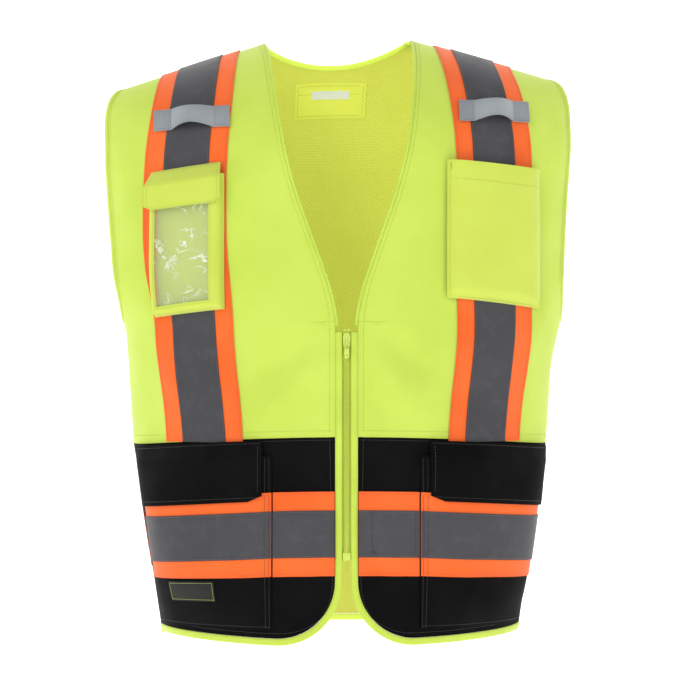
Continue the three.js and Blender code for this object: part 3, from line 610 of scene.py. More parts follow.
def level(value: float) -> Offset:
    """Offset that is the same all over a piece."""
    return lambda u, v: np.full(np.broadcast(u, v).shape, value)


@dataclass
class Trim:
    """A rounded binding strip swept along a path on the torso."""

    name: str
    angle: Grid
    way: Grid
    near: float
    far: float
    low: float = -0.8
    high: float = 2.2
    pucker: float = 0.22

    def build(self) -> bpy.types.Object:
        """Sweeps a rounded profile, with the small waves sewn edges have."""
        ring = 14
        angle, way = self._resampled()
        point = TORSO.lifted(angle, way, np.zeros_like(way))
        normal = TORSO.normal(angle, way)
        forward = np.gradient(point, axis=0)
        side = np.cross(forward, normal)
        side /= np.linalg.norm(side, axis=1, keepdims=True)
        run = np.concatenate([[0], np.cumsum(np.linalg.norm(np.diff(point, axis=0), axis=1))])
        wave = np.sin(run / 3.1) * 0.6 + np.sin(run / 7.7 + 1.3) * 0.4
        turn = np.linspace(0, 2 * math.pi, ring, endpoint=False)
        square = lambda a: np.sign(a) * np.abs(a) ** 0.55
        out_share, up_share = square(np.cos(turn)), square(np.sin(turn))
        mid_out, half_out = (self.near + self.far) / 2, abs(self.far - self.near) / 2
        mid_up, half_up = (self.low + self.high) / 2, (self.high - self.low) / 2
        roll = 1 + 0.05 * self.pucker * wave
        out = mid_out + half_out * out_share[None, :]
        up = mid_up + half_up * up_share[None, :] * roll[:, None]
        up = up - 0.35 * self.pucker * (1 + wave)[:, None] * (up_share > 0)[None, :]
        points = (
            point[:, None, :]
            + side[:, None, :] * out[..., None]
            + normal[:, None, :] * up[..., None]
        )
        count = len(run)
        k, c = np.meshgrid(np.arange(count - 1), np.arange(ring), indexing="ij")
        a, b = k * ring + c, k * ring + (c + 1) % ring
        faces = np.stack([a, b, b + ring, a + ring], -1).reshape(-1, 4).tolist()
        faces += [list(range(ring))[::-1], [(count - 1) * ring + n for n in range(ring)]]
        piece = mesh_object(self.name, points.reshape(-1, 3), faces)
        across = np.broadcast_to(out, (count, ring)) * MM
        along = np.broadcast_to(run[:, None] * MM, (count, ring))
        lay_uv(piece, "cloth", np.stack([across, along], -1).reshape(-1, 2))
        near = (half_out - np.abs(out - mid_out)) * MM
        near = np.broadcast_to(near, (count, ring))
        lay_uv(piece, "seam", np.stack([near, along], -1).reshape(-1, 2))
        sharpen(piece, 60)
        self.length_m = float(run[-1]) * MM
        self.cut_m = 1.05 * (abs(self.far - self.near) + self.high - self.low) * MM
        return piece

    def _resampled(self) -> Spot:
        """Angle and way at even spacing along the path."""
        point = TORSO.point(self.angle, self.way)
        run = np.concatenate([[0], np.cumsum(np.linalg.norm(np.diff(point, axis=0), axis=1))])
        even = np.linspace(0, run[-1], max(8, int(run[-1] / 2.6)))
        return np.interp(even, run, self.angle), np.interp(even, run, self.way)

    def middle(self, share: float = 0.5, lift: float = 0.0) -> Grid:
        """Line along the strip's outer face, in millimetres."""
        angle, way = self._resampled()
        point = TORSO.lifted(angle, way, np.zeros_like(way))
        normal = TORSO.normal(angle, way)
        side = np.cross(np.gradient(point, axis=0), normal)
        side /= np.linalg.norm(side, axis=1, keepdims=True)
        return point + side * lerp(self.near, self.far, share) + normal * (self.high + lift)


@dataclass
class Thread:
    """Rows of sewn stitches of one colour, gathered into one piece."""

    name: str
    length: float = 2.5
    pitch: float = 3.3
    radius: float = 0.27
    points: list[Grid] = field(default_factory=list)

    def sew(self, line: Grid, pitch: float | None = None) -> None:
        """Adds a row of stitches along a line of points in millimetres."""
        gap = pitch or self.pitch
        run = np.concatenate([[0], np.cumsum(np.linalg.norm(np.diff(line, axis=0), axis=1))])
        if run[-1] < gap:
            return
        length = self.length * gap / self.pitch
        starts = np.arange(0.5 * (gap - length), run[-1] - length, gap)
        rings = []
        for share, fat in ((0.0, 0.45), (0.3, 1.0), (0.7, 1.0), (1.0, 0.45)):
            spot = starts + share * length
            here = np.stack([np.interp(spot, run, line[:, k]) for k in range(3)], axis=1)
            rings.append((here, fat))
        forward = rings[-1][0] - rings[0][0]
        forward /= np.linalg.norm(forward, axis=1, keepdims=True)
        aside = np.cross(forward, np.array([0.31, 0.17, 0.93]))
        aside /= np.linalg.norm(aside, axis=1, keepdims=True)
        upward = np.cross(aside, forward)
        stitch = []
        for here, fat in rings:
            for turn in np.arange(5) * 2 * math.pi / 5:
                spread = aside * math.cos(turn) + upward * math.sin(turn)
                stitch.append(here + spread * self.radius * fat)
        self.points.append(np.stack(stitch, axis=1))

    def bar(self, start: Grid, end: Grid, width: float) -> None:
        """Adds a dense zigzag tack between two points."""
        forward = (end - start) / np.linalg.norm(end - start)
        aside = np.cross(forward, np.array([0.0, -1.0, 0.0]))
        count = max(4, int(np.linalg.norm(end - start) / 0.8))
        for k in range(count):
            middle = start + (end - start) * (k + 0.5) / count
            lean = forward * 0.5 * (-1) ** k
            row = np.stack([middle - aside * width / 2 - lean, middle + aside * width / 2 + lean])
            self.sew(row, pitch=width * 0.95)

    def build(self) -> bpy.types.Object:
        """One mesh with every stitch of this thread."""
        stitches = np.concatenate(self.points)
        count = len(stitches)
        faces = []
        for r in range(3):
            for c in range(5):
                faces.append([r * 5 + c, r * 5 + (c + 1) % 5, r * 5 + 5 + (c + 1) % 5, r * 5 + 5 + c])
        caps = [[4, 3, 2, 1, 0], [15, 16, 17, 18, 19]]
        base = np.arange(count)[:, None, None] * 20
        sides = (np.array(faces)[None] + base).reshape(-1, 4).tolist()
        ends = (np.array(caps)[None] + base).reshape(-1, 5).tolist()
        piece = mesh_object(self.name, stitches.reshape(-1, 3), sides + ends)
        return piece


# ---------------------------------------------------------------- finishes


def linear(red: float, green: float, blue: float) -> tuple[float, float, float, float]:
    """Shader colour from a 0 to 255 colour."""

    def one(value: float) -> float:
        """One channel as linear light."""
        c = value / 255
        return c / 12.92 if c <= 0.04045 else ((c + 0.055) / 1.055) ** 2.4

    return one(red), one(green), one(blue), 1.0


@dataclass
class NodeDesk:
    """Makes and joins the nodes of one tree."""

    tree: bpy.types.NodeTree

    def node(self, kind: str, **inputs: object) -> bpy.types.Node:
        """New node; inputs are values or sockets by input name, with _ for a space."""
        made = self.tree.nodes.new(kind)
        for name, value in inputs.items():
            self.feed(made.inputs[name.replace("_", " ")], value)
        return made

    def feed(self, socket: bpy.types.NodeSocket, value: object) -> None:
        """Sets a socket, or links it to another."""
        if isinstance(value, bpy.types.NodeSocket):
            self.tree.links.new(value, socket)
        else:
            socket.default_value = value

    def math(self, kind: str, *values: object, clamp: bool = False) -> bpy.types.NodeSocket:
        """Result of a math node over values or sockets."""
        made = self.tree.nodes.new("ShaderNodeMath")
        made.operation = kind
        made.use_clamp = clamp
        for socket, value in zip(made.inputs, values):
            self.feed(socket, value)
        return made.outputs[0]

    def mix(self, share: object, first: object, second: object, kind: str = "MIX") -> bpy.types.NodeSocket:
        """Colour between two colours."""
        made = self.tree.nodes.new("ShaderNodeMix")
        made.data_type = "RGBA"
        made.blend_type = kind
        self.feed(made.inputs[0], share)
        self.feed(made.inputs[6], first)
        self.feed(made.inputs[7], second)
        return made.outputs[2]

    def noise(self, vector: object, scale: float, detail: float = 3.0, rough: float = 0.5) -> bpy.types.NodeSocket:
        """Noise from 0 to 1 at a scale per metre."""
        made = self.node("ShaderNodeTexNoise", Vector=vector, Scale=scale, Detail=detail, Roughness=rough)
        return made.outputs["Fac"]

    def span(self, value: object, low: float, high: float, to_low: float, to_high: float) -> bpy.types.NodeSocket:
        """Value moved from one range to another, held at its ends."""
        made = self.tree.nodes.new("ShaderNodeMapRange")
        for name, number in zip(
            ("Value", "From Min", "From Max", "To Min", "To Max"), (value, low, high, to_low, to_high)
        ):
            self.feed(made.inputs[name], number)
        return made.outputs[0]


def new_group(
    name: str, inputs: dict[str, tuple[str, object]], outputs: dict[str, str]
) -> tuple[bpy.types.NodeTree, NodeDesk, bpy.types.Node, bpy.types.Node]:
    """Empty shader group with named sockets.

    Args:
        name: Name of the group.
        inputs: Kind and standing value of each input, by name.
        outputs: Kind of each output, by name.

    Returns:
        The group, its desk, its input node and its output node.
    """
    group = bpy.data.node_groups.new(name, "ShaderNodeTree")
    for key, (kind, value) in inputs.items():
        made = group.interface.new_socket(name=key, in_out="INPUT", socket_type=kind)
        if value is not None:
            made.default_value = value
    for key, kind in outputs.items():
        group.interface.new_socket(name=key, in_out="OUTPUT", socket_type=kind)
    desk = NodeDesk(group)
    return group, desk, desk.node("NodeGroupInput"), desk.node("NodeGroupOutput")


FLOAT, VECTOR, COLOR = "NodeSocketFloat", "NodeSocketVector", "NodeSocketColor"


class ClothGroups:
    """Shader groups that the cloth finishes share."""

    def __init__(self) -> None:
        """Builds each group once."""
        self.weave = self._weave()
        self.puckers = self._puckers()
        self.tone = self._tone()

    @staticmethod
    def _weave() -> bpy.types.NodeTree:
        """Ribs or a plain weave as a height from 0 to 1."""
        group, desk, given, made = new_group(
            "cloth_weave",
            {
                "Map": (VECTOR, None),
                "Across": (FLOAT, 900.0),
                "Along": (FLOAT, 900.0),
                "Lean": (FLOAT, 0.0),
                "Cross": (FLOAT, 1.0),
            },
            {"Height": FLOAT, "Gap": FLOAT},
        )
        parts = desk.node("ShaderNodeSeparateXYZ", Vector=given.outputs["Map"])
        leaned = desk.math("MULTIPLY_ADD", parts.outputs["Y"], given.outputs["Lean"], parts.outputs["X"])
        u = desk.math("MULTIPLY", leaned, given.outputs["Across"])
        v = desk.math("MULTIPLY", parts.outputs["Y"], given.outputs["Along"])
        rib = desk.math("SINE", desk.math("MULTIPLY", u, math.pi))
        row = desk.math("SINE", desk.math("MULTIPLY", v, math.pi))
        both = desk.math("MULTIPLY", rib, row)
        blend = desk.math("MULTIPLY_ADD", desk.math("SUBTRACT", both, rib), given.outputs["Cross"], rib)
        height = desk.math("MULTIPLY_ADD", blend, 0.5, 0.5)
        gap = desk.math("SUBTRACT", 1.0, desk.math("ABSOLUTE", blend))
        desk.feed(made.inputs["Height"], height)
        desk.feed(made.inputs["Gap"], gap)
        return group

    @staticmethod
    def _puckers() -> bpy.types.NodeTree:
        """Small creases that gather beside a sewn edge, as a height from 0 to 1."""
        group, desk, given, made = new_group(
            "seam_puckers",
            {"Seam": (VECTOR, None), "Place": (VECTOR, None), "Reach": (FLOAT, 0.006), "Count": (FLOAT, 130.0)},
            {"Height": FLOAT, "Edge": FLOAT},
        )
        parts = desk.node("ShaderNodeSeparateXYZ", Vector=given.outputs["Seam"])
        near = desk.math(
            "EXPONENT", desk.math("DIVIDE", desk.math("MULTIPLY", parts.outputs["X"], -1.0), given.outputs["Reach"])
        )
        row = desk.node("ShaderNodeCombineXYZ", X=desk.math("MULTIPLY", parts.outputs["Y"], given.outputs["Count"]))
        wave = desk.node("ShaderNodeTexNoise", Vector=row.outputs[0], Scale=1.0, Detail=1.5)
        height = desk.math("MULTIPLY", wave.outputs["Fac"], near)
        desk.feed(made.inputs["Height"], height)
        desk.feed(made.inputs["Edge"], near)
        return group

    @staticmethod
    def _tone() -> bpy.types.NodeTree:
        """Colour that varies in soft clouds and fine threads, and painted shade: Edge darkens it beside the seams."""
        group, desk, given, made = new_group(
            "cloth_tone",
            {
                "Color": (COLOR, None),
                "Dark": (COLOR, None),
                "Place": (VECTOR, None),
                "Clouds": (FLOAT, 0.3),
                "Threads": (FLOAT, 0.3),
                "Thread Map": (FLOAT, 0.5),
                "Edge": (FLOAT, 0.0),
            },
            {"Color": COLOR, "Clouds": FLOAT},
        )
        soft = desk.noise(given.outputs["Place"], 17.0, 2.0)
        fine = desk.noise(given.outputs["Place"], 900.0, 1.0)
        cloud = desk.span(soft, 0.35, 0.7, 0.0, 1.0)
        share = desk.math("MULTIPLY", cloud, given.outputs["Clouds"])
        thread = desk.math("MULTIPLY", desk.math("MULTIPLY", given.outputs["Thread Map"], fine), given.outputs["Threads"])
        total = desk.math("ADD", desk.math("ADD", share, thread), given.outputs["Edge"], clamp=True)
        desk.feed(made.inputs["Color"], desk.mix(total, given.outputs["Color"], given.outputs["Dark"]))
        desk.feed(made.inputs["Clouds"], cloud)
        return group

    def use(self, desk: NodeDesk, group: bpy.types.NodeTree, **inputs: object) -> bpy.types.Node:
        """Places a group in a material with its own values."""
        made = desk.tree.nodes.new("ShaderNodeGroup")
        made.node_tree = group
        for name, value in inputs.items():
            desk.feed(made.inputs[name.replace("_", " ")], value)
        return made


@dataclass(frozen=True)
class ClothFinish:
    """A woven or knitted cloth: its colours, its thread counts per metre and its shine."""

    name: str
    color: tuple[float, float, float]
    dark: tuple[float, float, float]
    across: float = 1100.0
    along: float = 1100.0
    lean: float = 0.0
    cross: float = 1.0
    weave_mm: float = 0.05
    crease_mm: float = 0.5
    pucker_mm: float = 0.5
    rough: float = 0.8
    rough_dark: float = 0.92
    sheen: float = 0.2
    clouds: float = 0.35
    threads: float = 0.4
    # Painted light: glow makes the cloth emit its own colour, so it glows though it is no lamp.
    glow: float = 0.0
    # Painted light: the inner glow makes the face that looks forward glow, as if lit, though it is no lamp.
    painted_inner_light: float = 0.0
    specular: float = 0.3

    def material(self, groups: ClothGroups) -> bpy.types.Material:
        """Builds the cloth material."""
        made = bpy.data.materials.new(self.name)
        made.use_nodes = True
        desk = NodeDesk(made.node_tree)
        shader = made.node_tree.nodes["Principled BSDF"]
        place = desk.node("ShaderNodeTexCoord").outputs["Object"]
        cloth = self._map(desk, "cloth")
        seam = self._map(desk, "seam")
        weave = groups.use(
            desk, groups.weave, Map=cloth, Across=self.across, Along=self.along, Lean=self.lean, Cross=self.cross
        )
        pucker = groups.use(desk, groups.puckers, Seam=seam, Place=place)
        # Painted shade: the cloth is darkened beside its sewn edges, where the puckers gather.
        edge = desk.math("MULTIPLY", pucker.outputs["Edge"], 0.25)
        tone = groups.use(
            desk,
            groups.tone,
            Color=linear(*self.color),
            Dark=linear(*self.dark),
            Place=place,
            Clouds=self.clouds,
            Threads=self.threads,
            Thread_Map=weave.outputs["Gap"],
            Edge=edge,
        )
        color, extra = self._detail(desk, tone.outputs["Color"], cloth)
        desk.feed(shader.inputs["Base Color"], color)
        rough = desk.span(tone.outputs["Clouds"], 0, 1, self.rough, self.rough_dark)
        desk.feed(shader.inputs["Roughness"], rough)
        crease = desk.noise(place, 46.0, 4.0, 0.55)
        height = desk.math("MULTIPLY", crease, self.crease_mm * MM)
        height = desk.math("MULTIPLY_ADD", weave.outputs["Height"], self.weave_mm * MM, height)
        height = desk.math("MULTIPLY_ADD", pucker.outputs["Height"], self.pucker_mm * MM, height)
        height = desk.math("ADD", height, extra)
        bump = desk.node("ShaderNodeBump", Strength=1.0, Distance=1.0, Height=height)
        desk.feed(shader.inputs["Normal"], bump.outputs[0])
        shader.inputs["Sheen Weight"].default_value = self.sheen
        shader.inputs["Sheen Roughness"].default_value = 0.5
        shader.inputs["Specular IOR Level"].default_value = self.specular
        # Painted light: the cloth emits its own colour and glows though it is no lamp.
        if self.glow:
            desk.feed(shader.inputs["Emission Color"], color)
            shader.inputs["Emission Strength"].default_value = self.glow
            # Painted light: a stronger glow on the face that looks forward.
            if self.painted_inner_light:
                self._paint_inner_light(desk, shader, color)
        return made

    def _paint_inner_light(self, desk: NodeDesk, shader: bpy.types.Node, color: bpy.types.NodeSocket) -> None:
        """Painted light: the face that looks forward, the inside of the back, glows in its own colour though nothing
        lights it.
        """
        facing = desk.node("ShaderNodeSeparateXYZ", Vector=desk.node("ShaderNodeNewGeometry").outputs["Normal"])
        inner = desk.span(facing.outputs["Y"], -0.05, -0.35, self.glow / self.painted_inner_light, 1.0)
        desk.feed(shader.inputs["Emission Color"], desk.mix(inner, (0.0, 0.0, 0.0, 1.0), color))
        shader.inputs["Emission Strength"].default_value = self.painted_inner_light

    def _detail(
        self, desk: NodeDesk, color: bpy.types.NodeSocket, cloth: bpy.types.NodeSocket
    ) -> tuple[bpy.types.NodeSocket, bpy.types.NodeSocket]:
        """Further colour and height that a finish adds; plain cloth adds a trace of fuzz."""
        return color, desk.math("MULTIPLY", desk.noise(cloth, 2400.0, 1.0), 0.02 * MM)

    @staticmethod
    def _map(desk: NodeDesk, name: str) -> bpy.types.NodeSocket:
        """One of a piece's maps."""
        made = desk.node("ShaderNodeUVMap")
        made.uv_map = name
        return made.outputs[0]


@dataclass(frozen=True)
class MeshFinish(ClothFinish):
    """Knitted mesh with rows of small round holes."""

    hole_pitch_mm: float = 3.1
    # Painted shade: colour of the holes, darker than the mesh.
    hole: tuple[float, float, float] = (140, 150, 60)

    def _detail(
        self, desk: NodeDesk, color: bpy.types.NodeSocket, cloth: bpy.types.NodeSocket
    ) -> tuple[bpy.types.NodeSocket, bpy.types.NodeSocket]:
        """Staggered holes, sunk, and coloured darker as painted shade for what shows through them."""
        parts = desk.node("ShaderNodeSeparateXYZ", Vector=cloth)
        rate = 2 * math.pi / (self.hole_pitch_mm * MM)
        u = desk.math("COSINE", desk.math("MULTIPLY", parts.outputs["X"], rate))
        v = desk.math("COSINE", desk.math("MULTIPLY", parts.outputs["Y"], rate * 0.6))
        hole = desk.span(desk.math("MULTIPLY", u, v), 0.3, 0.62, 0.0, 1.0)
        fuzz = desk.math("MULTIPLY", desk.noise(cloth, 1500.0, 2.0), 0.05 * MM)
        height = desk.math("MULTIPLY_ADD", hole, -0.5 * MM, fuzz)
        # Painted shade: the holes take the darker hole colour.
        return desk.mix(hole, color, linear(*self.hole)), height


@dataclass(frozen=True)
class BeadFinish(ClothFinish):
    """Reflective tape: grey cloth under a coat of fine glass beads."""

    def _detail(
        self, desk: NodeDesk, color: bpy.types.NodeSocket, cloth: bpy.types.NodeSocket
    ) -> tuple[bpy.types.NodeSocket, bpy.types.NodeSocket]:
        """Painted glints for the bead sparkle, and paler streaks in soft patches."""
        grain = desk.noise(cloth, 1700.0, 2.0)
        # Painted glints: specks of paler grey stand in for the beads' sparkle.
        painted_glint = desk.span(grain, 0.58, 0.75, 0.0, 0.5)
        streak = desk.span(desk.noise(cloth, 60.0, 4.0, 0.65), 0.5, 0.8, 0.0, 0.35)
        pale = desk.mix(streak, color, linear(98, 97, 102))
        return desk.mix(painted_glint, pale, linear(124, 124, 130)), desk.math("MULTIPLY", grain, 0.05 * MM)


@dataclass(frozen=True)
class PlushFinish(ClothFinish):
    """Hook and loop strip: a dense, fuzzy pile."""

    def _detail(
        self, desk: NodeDesk, color: bpy.types.NodeSocket, cloth: bpy.types.NodeSocket
    ) -> tuple[bpy.types.NodeSocket, bpy.types.NodeSocket]:
        """Rows of tufts."""
        pile = desk.noise(cloth, 1300.0, 3.0, 0.8)
        return desk.mix(desk.span(pile, 0.5, 0.8, 0, 0.6), color, linear(70, 70, 74)), desk.math(
            "MULTIPLY", pile, 0.6 * MM
        )


@dataclass(frozen=True)
class VinylFinish:
    """Clear soft vinyl with swirled creases."""

    name: str = "clear_vinyl"

    def material(self, groups: ClothGroups) -> bpy.types.Material:
        """Builds the vinyl: see-through and glossy, paler and denser along its creases; the paler creases are painted
        glare, partly also the whitening that creased vinyl has.
        """
        made = bpy.data.materials.new(self.name)
        made.use_nodes = True
        desk = NodeDesk(made.node_tree)
        shader = made.node_tree.nodes["Principled BSDF"]
        cloth = ClothFinish._map(desk, "cloth")
        seam = ClothFinish._map(desk, "seam")
        warp = desk.node("ShaderNodeTexNoise", Vector=cloth, Scale=22.0, Detail=1.0)
        bent = desk.node("ShaderNodeVectorMath")
        bent.operation = "MULTIPLY_ADD"
        desk.feed(bent.inputs[0], warp.outputs["Color"])
        bent.inputs[1].default_value = (0.05, 0.05, 0.05)
        desk.feed(bent.inputs[2], cloth)
        swirl = desk.noise(bent.outputs[0], 62.0, 2.0, 0.45)
        ridge = desk.math("SUBTRACT", 1.0, desk.math("ABSOLUTE", desk.math("MULTIPLY_ADD", swirl, 2.0, -1.0)))
        line = desk.span(ridge, 0.93, 0.99, 0.0, 1.0)
        patch = desk.span(desk.noise(cloth, 30.0, 1.0), 0.46, 0.62, 0.0, 1.0)
        streak = desk.math("MULTIPLY", line, patch)
        pucker = groups.use(desk, groups.puckers, Seam=seam, Place=cloth, Reach=0.004, Count=260.0)
        alpha = desk.math("MULTIPLY_ADD", streak, 0.6, 0.2)
        alpha = desk.math("MULTIPLY_ADD", pucker.outputs["Edge"], 0.25, alpha, clamp=True)
        desk.feed(shader.inputs["Alpha"], alpha)
        # Painted glare: the creases are coloured near white.
        desk.feed(shader.inputs["Base Color"], desk.mix(streak, linear(226, 236, 190), linear(252, 253, 246)))
        desk.feed(shader.inputs["Roughness"], desk.span(swirl, 0, 1, 0.06, 0.2))
        height = desk.math("MULTIPLY", swirl, 2.2 * MM)
        height = desk.math("MULTIPLY_ADD", pucker.outputs["Height"], 1.0 * MM, height)
        bump = desk.node("ShaderNodeBump", Strength=1.0, Distance=1.0, Height=height)
        desk.feed(shader.inputs["Normal"], bump.outputs[0])
        shader.inputs["Specular IOR Level"].default_value = 0.8
        shader.inputs["Coat Weight"].default_value = 0.6
        shader.inputs["Coat Roughness"].default_value = 0.08
        return made


@dataclass(frozen=True)
class PlasticFinish:
    """Moulded zip plastic with a faint mottle and fine paler specks."""

    name: str = "zip_plastic"
    color: tuple[float, float, float] = (212, 230, 92)
    dark: tuple[float, float, float] = (188, 206, 74)

    def material(self, groups: ClothGroups) -> bpy.types.Material:
        """Builds the plastic."""
        made = bpy.data.materials.new(self.name)
        made.use_nodes = True
        desk = NodeDesk(made.node_tree)
        shader = made.node_tree.nodes["Principled BSDF"]
        place = desk.node("ShaderNodeTexCoord").outputs["Object"]
        mottle = desk.noise(place, 420.0, 3.0)
        # Fine paler specks at random over the mottle, in colour and height.
        pale_speck = desk.noise(place, 1500.0, 2.0)
        color = desk.mix(desk.span(mottle, 0.35, 0.7, 0, 0.8), linear(*self.color), linear(*self.dark))
        color = desk.mix(desk.span(pale_speck, 0.6, 0.8, 0, 0.5), color, linear(232, 240, 160))
        desk.feed(shader.inputs["Base Color"], color)
        desk.feed(shader.inputs["Roughness"], desk.span(mottle, 0, 1, 0.28, 0.5))
        bump = desk.node("ShaderNodeBump", Strength=1.0, Distance=1.0, Height=desk.math("MULTIPLY", pale_speck, 0.03 * MM))
        desk.feed(shader.inputs["Normal"], bump.outputs[0])
        shader.inputs["Coat Weight"].default_value = 0.25
        return made


@dataclass(frozen=True)
class ThreadFinish:
    """Twisted sewing thread."""

    name: str
    color: tuple[float, float, float]

    def material(self, groups: ClothGroups) -> bpy.types.Material:
        """Builds the thread."""
        made = bpy.data.materials.new(self.name)
        made.use_nodes = True
        desk = NodeDesk(made.node_tree)
        shader = made.node_tree.nodes["Principled BSDF"]
        place = desk.node("ShaderNodeTexCoord").outputs["Object"]
        ply = desk.noise(place, 2600.0, 2.0)
        dark = tuple(c * 0.72 for c in self.color)
        desk.feed(shader.inputs["Base Color"], desk.mix(ply, linear(*self.color), linear(*dark)))
        desk.feed(shader.inputs["Roughness"], desk.span(ply, 0, 1, 0.45, 0.75))
        bump = desk.node("ShaderNodeBump", Strength=1.0, Distance=1.0, Height=desk.math("MULTIPLY", ply, 0.05 * MM))
        desk.feed(shader.inputs["Normal"], bump.outputs[0])
        shader.inputs["Sheen Weight"].default_value = 0.3
        return made


class Wardrobe:
    """Every finish of the vest, made once each, by slot or thread name."""

    def __init__(self) -> None:
        """Builds the groups and the materials."""
        groups = ClothGroups()
        cloths = {
            # Painted light: each glow below makes that cloth emit its own colour, so it glows though it is no lamp.
            Slot.TRICOT: ClothFinish(
                "lime_tricot", (201, 224, 90), (184, 208, 74), across=1700, cross=0.35, weave_mm=0.06, glow=0.04
            ),
            # Painted light: the mesh's inner glow makes its forward face, the inside of the back, glow though nothing
            # lights it.
            Slot.MESH: MeshFinish(
                "lime_mesh", (199, 202, 86), (188, 190, 74), across=1300, crease_mm=0.6, hole=(181, 186, 73), glow=0.03,
                painted_inner_light=0.56,
            ),
            Slot.BLACK: ClothFinish(
                "black_cloth", (13, 12, 13), (8, 7, 8), across=1500, weave_mm=0.07, rough=0.62, rough_dark=0.8,
                sheen=0.0, clouds=0.5, crease_mm=0.8, specular=0.07,
            ),
            Slot.BINDING: ClothFinish(
                "lime_binding", (206, 230, 88), (176, 202, 62), across=900, along=1500, cross=0.2, weave_mm=0.1,
                rough=0.6, rough_dark=0.75, pucker_mm=0.2, glow=0.03,
            ),
            Slot.ORANGE: ClothFinish(
                "orange_tape", (252, 112, 44), (226, 86, 28), across=1100, lean=0.5, weave_mm=0.07, glow=0.06,
                crease_mm=0.4,
            ),
            Slot.SILVER: BeadFinish(
                "reflective_tape", (72, 71, 75), (60, 59, 62), across=1500, weave_mm=0.04, rough=0.42,
                rough_dark=0.58, sheen=0.0, crease_mm=0.35, specular=0.25,
            ),
            Slot.POCKET: ClothFinish(
                "pocket_cloth", (203, 219, 88), (190, 206, 74), across=1000, along=1000, weave_mm=0.09,
                crease_mm=0.7, glow=0.05,
            ),
            Slot.WEBBING: ClothFinish(
                "grey_webbing", (166, 172, 176), (126, 132, 138), across=520, along=1500, cross=0.55, weave_mm=0.22,
                rough=0.55, rough_dark=0.7, crease_mm=0.2,
            ),
            Slot.ZIP_TAPE: ClothFinish(
                "zip_tape_cloth", (204, 222, 84), (176, 196, 62), across=900, along=1400, cross=0.4, weave_mm=0.12
            ),
            Slot.HOOK: PlushFinish("hook_and_loop", (26, 26, 28), (14, 14, 16)),
            # Painted light: the white label glows strongly, brighter than the lamps make it.
            Slot.LABEL: ClothFinish(
                "label_cloth", (226, 226, 228), (204, 204, 208), across=2600, along=2600, weave_mm=0.03, rough=0.5,
                rough_dark=0.6, glow=0.3,
            ),
            Slot.BADGE: ClothFinish(
                "badge_cloth", (30, 31, 26), (18, 19, 16), across=1500, along=1500, weave_mm=0.15, crease_mm=0.2
            ),
        }
        self.by_slot = {slot: finish.material(groups) for slot, finish in cloths.items()}
        # Painted light: lit copies of the binding and pocket cloth, whose forward face glows for the inside of the
        # back.
        self.back_trim_painted_light = ClothFinish(
            "back_binding_painted_light", (206, 226, 92), (190, 208, 76), across=900, weave_mm=0.1, glow=0.03, painted_inner_light=0.6
        ).material(groups)
        self.patch = ClothFinish(
            "patch_cloth_painted_light", (200, 204, 84), (190, 194, 74), across=1000, weave_mm=0.09, glow=0.03, painted_inner_light=0.62
        ).material(groups)
        self.by_slot[Slot.VINYL] = VinylFinish().material(groups)
        self.by_slot[Slot.ZIP] = PlasticFinish().material(groups)
        self.thread = {
            "lime": ThreadFinish("lime_thread", (196, 216, 76)).material(groups),
            "black": ThreadFinish("black_thread", (38, 36, 37)).material(groups),
            "orange": ThreadFinish("orange_thread", (236, 96, 34)).material(groups),
            "grey": ThreadFinish("grey_thread", (104, 105, 110)).material(groups),
            "dark": ThreadFinish("dark_thread", (112, 117, 120)).material(groups),
        }


# ---------------------------------------------------------------- making and dressing


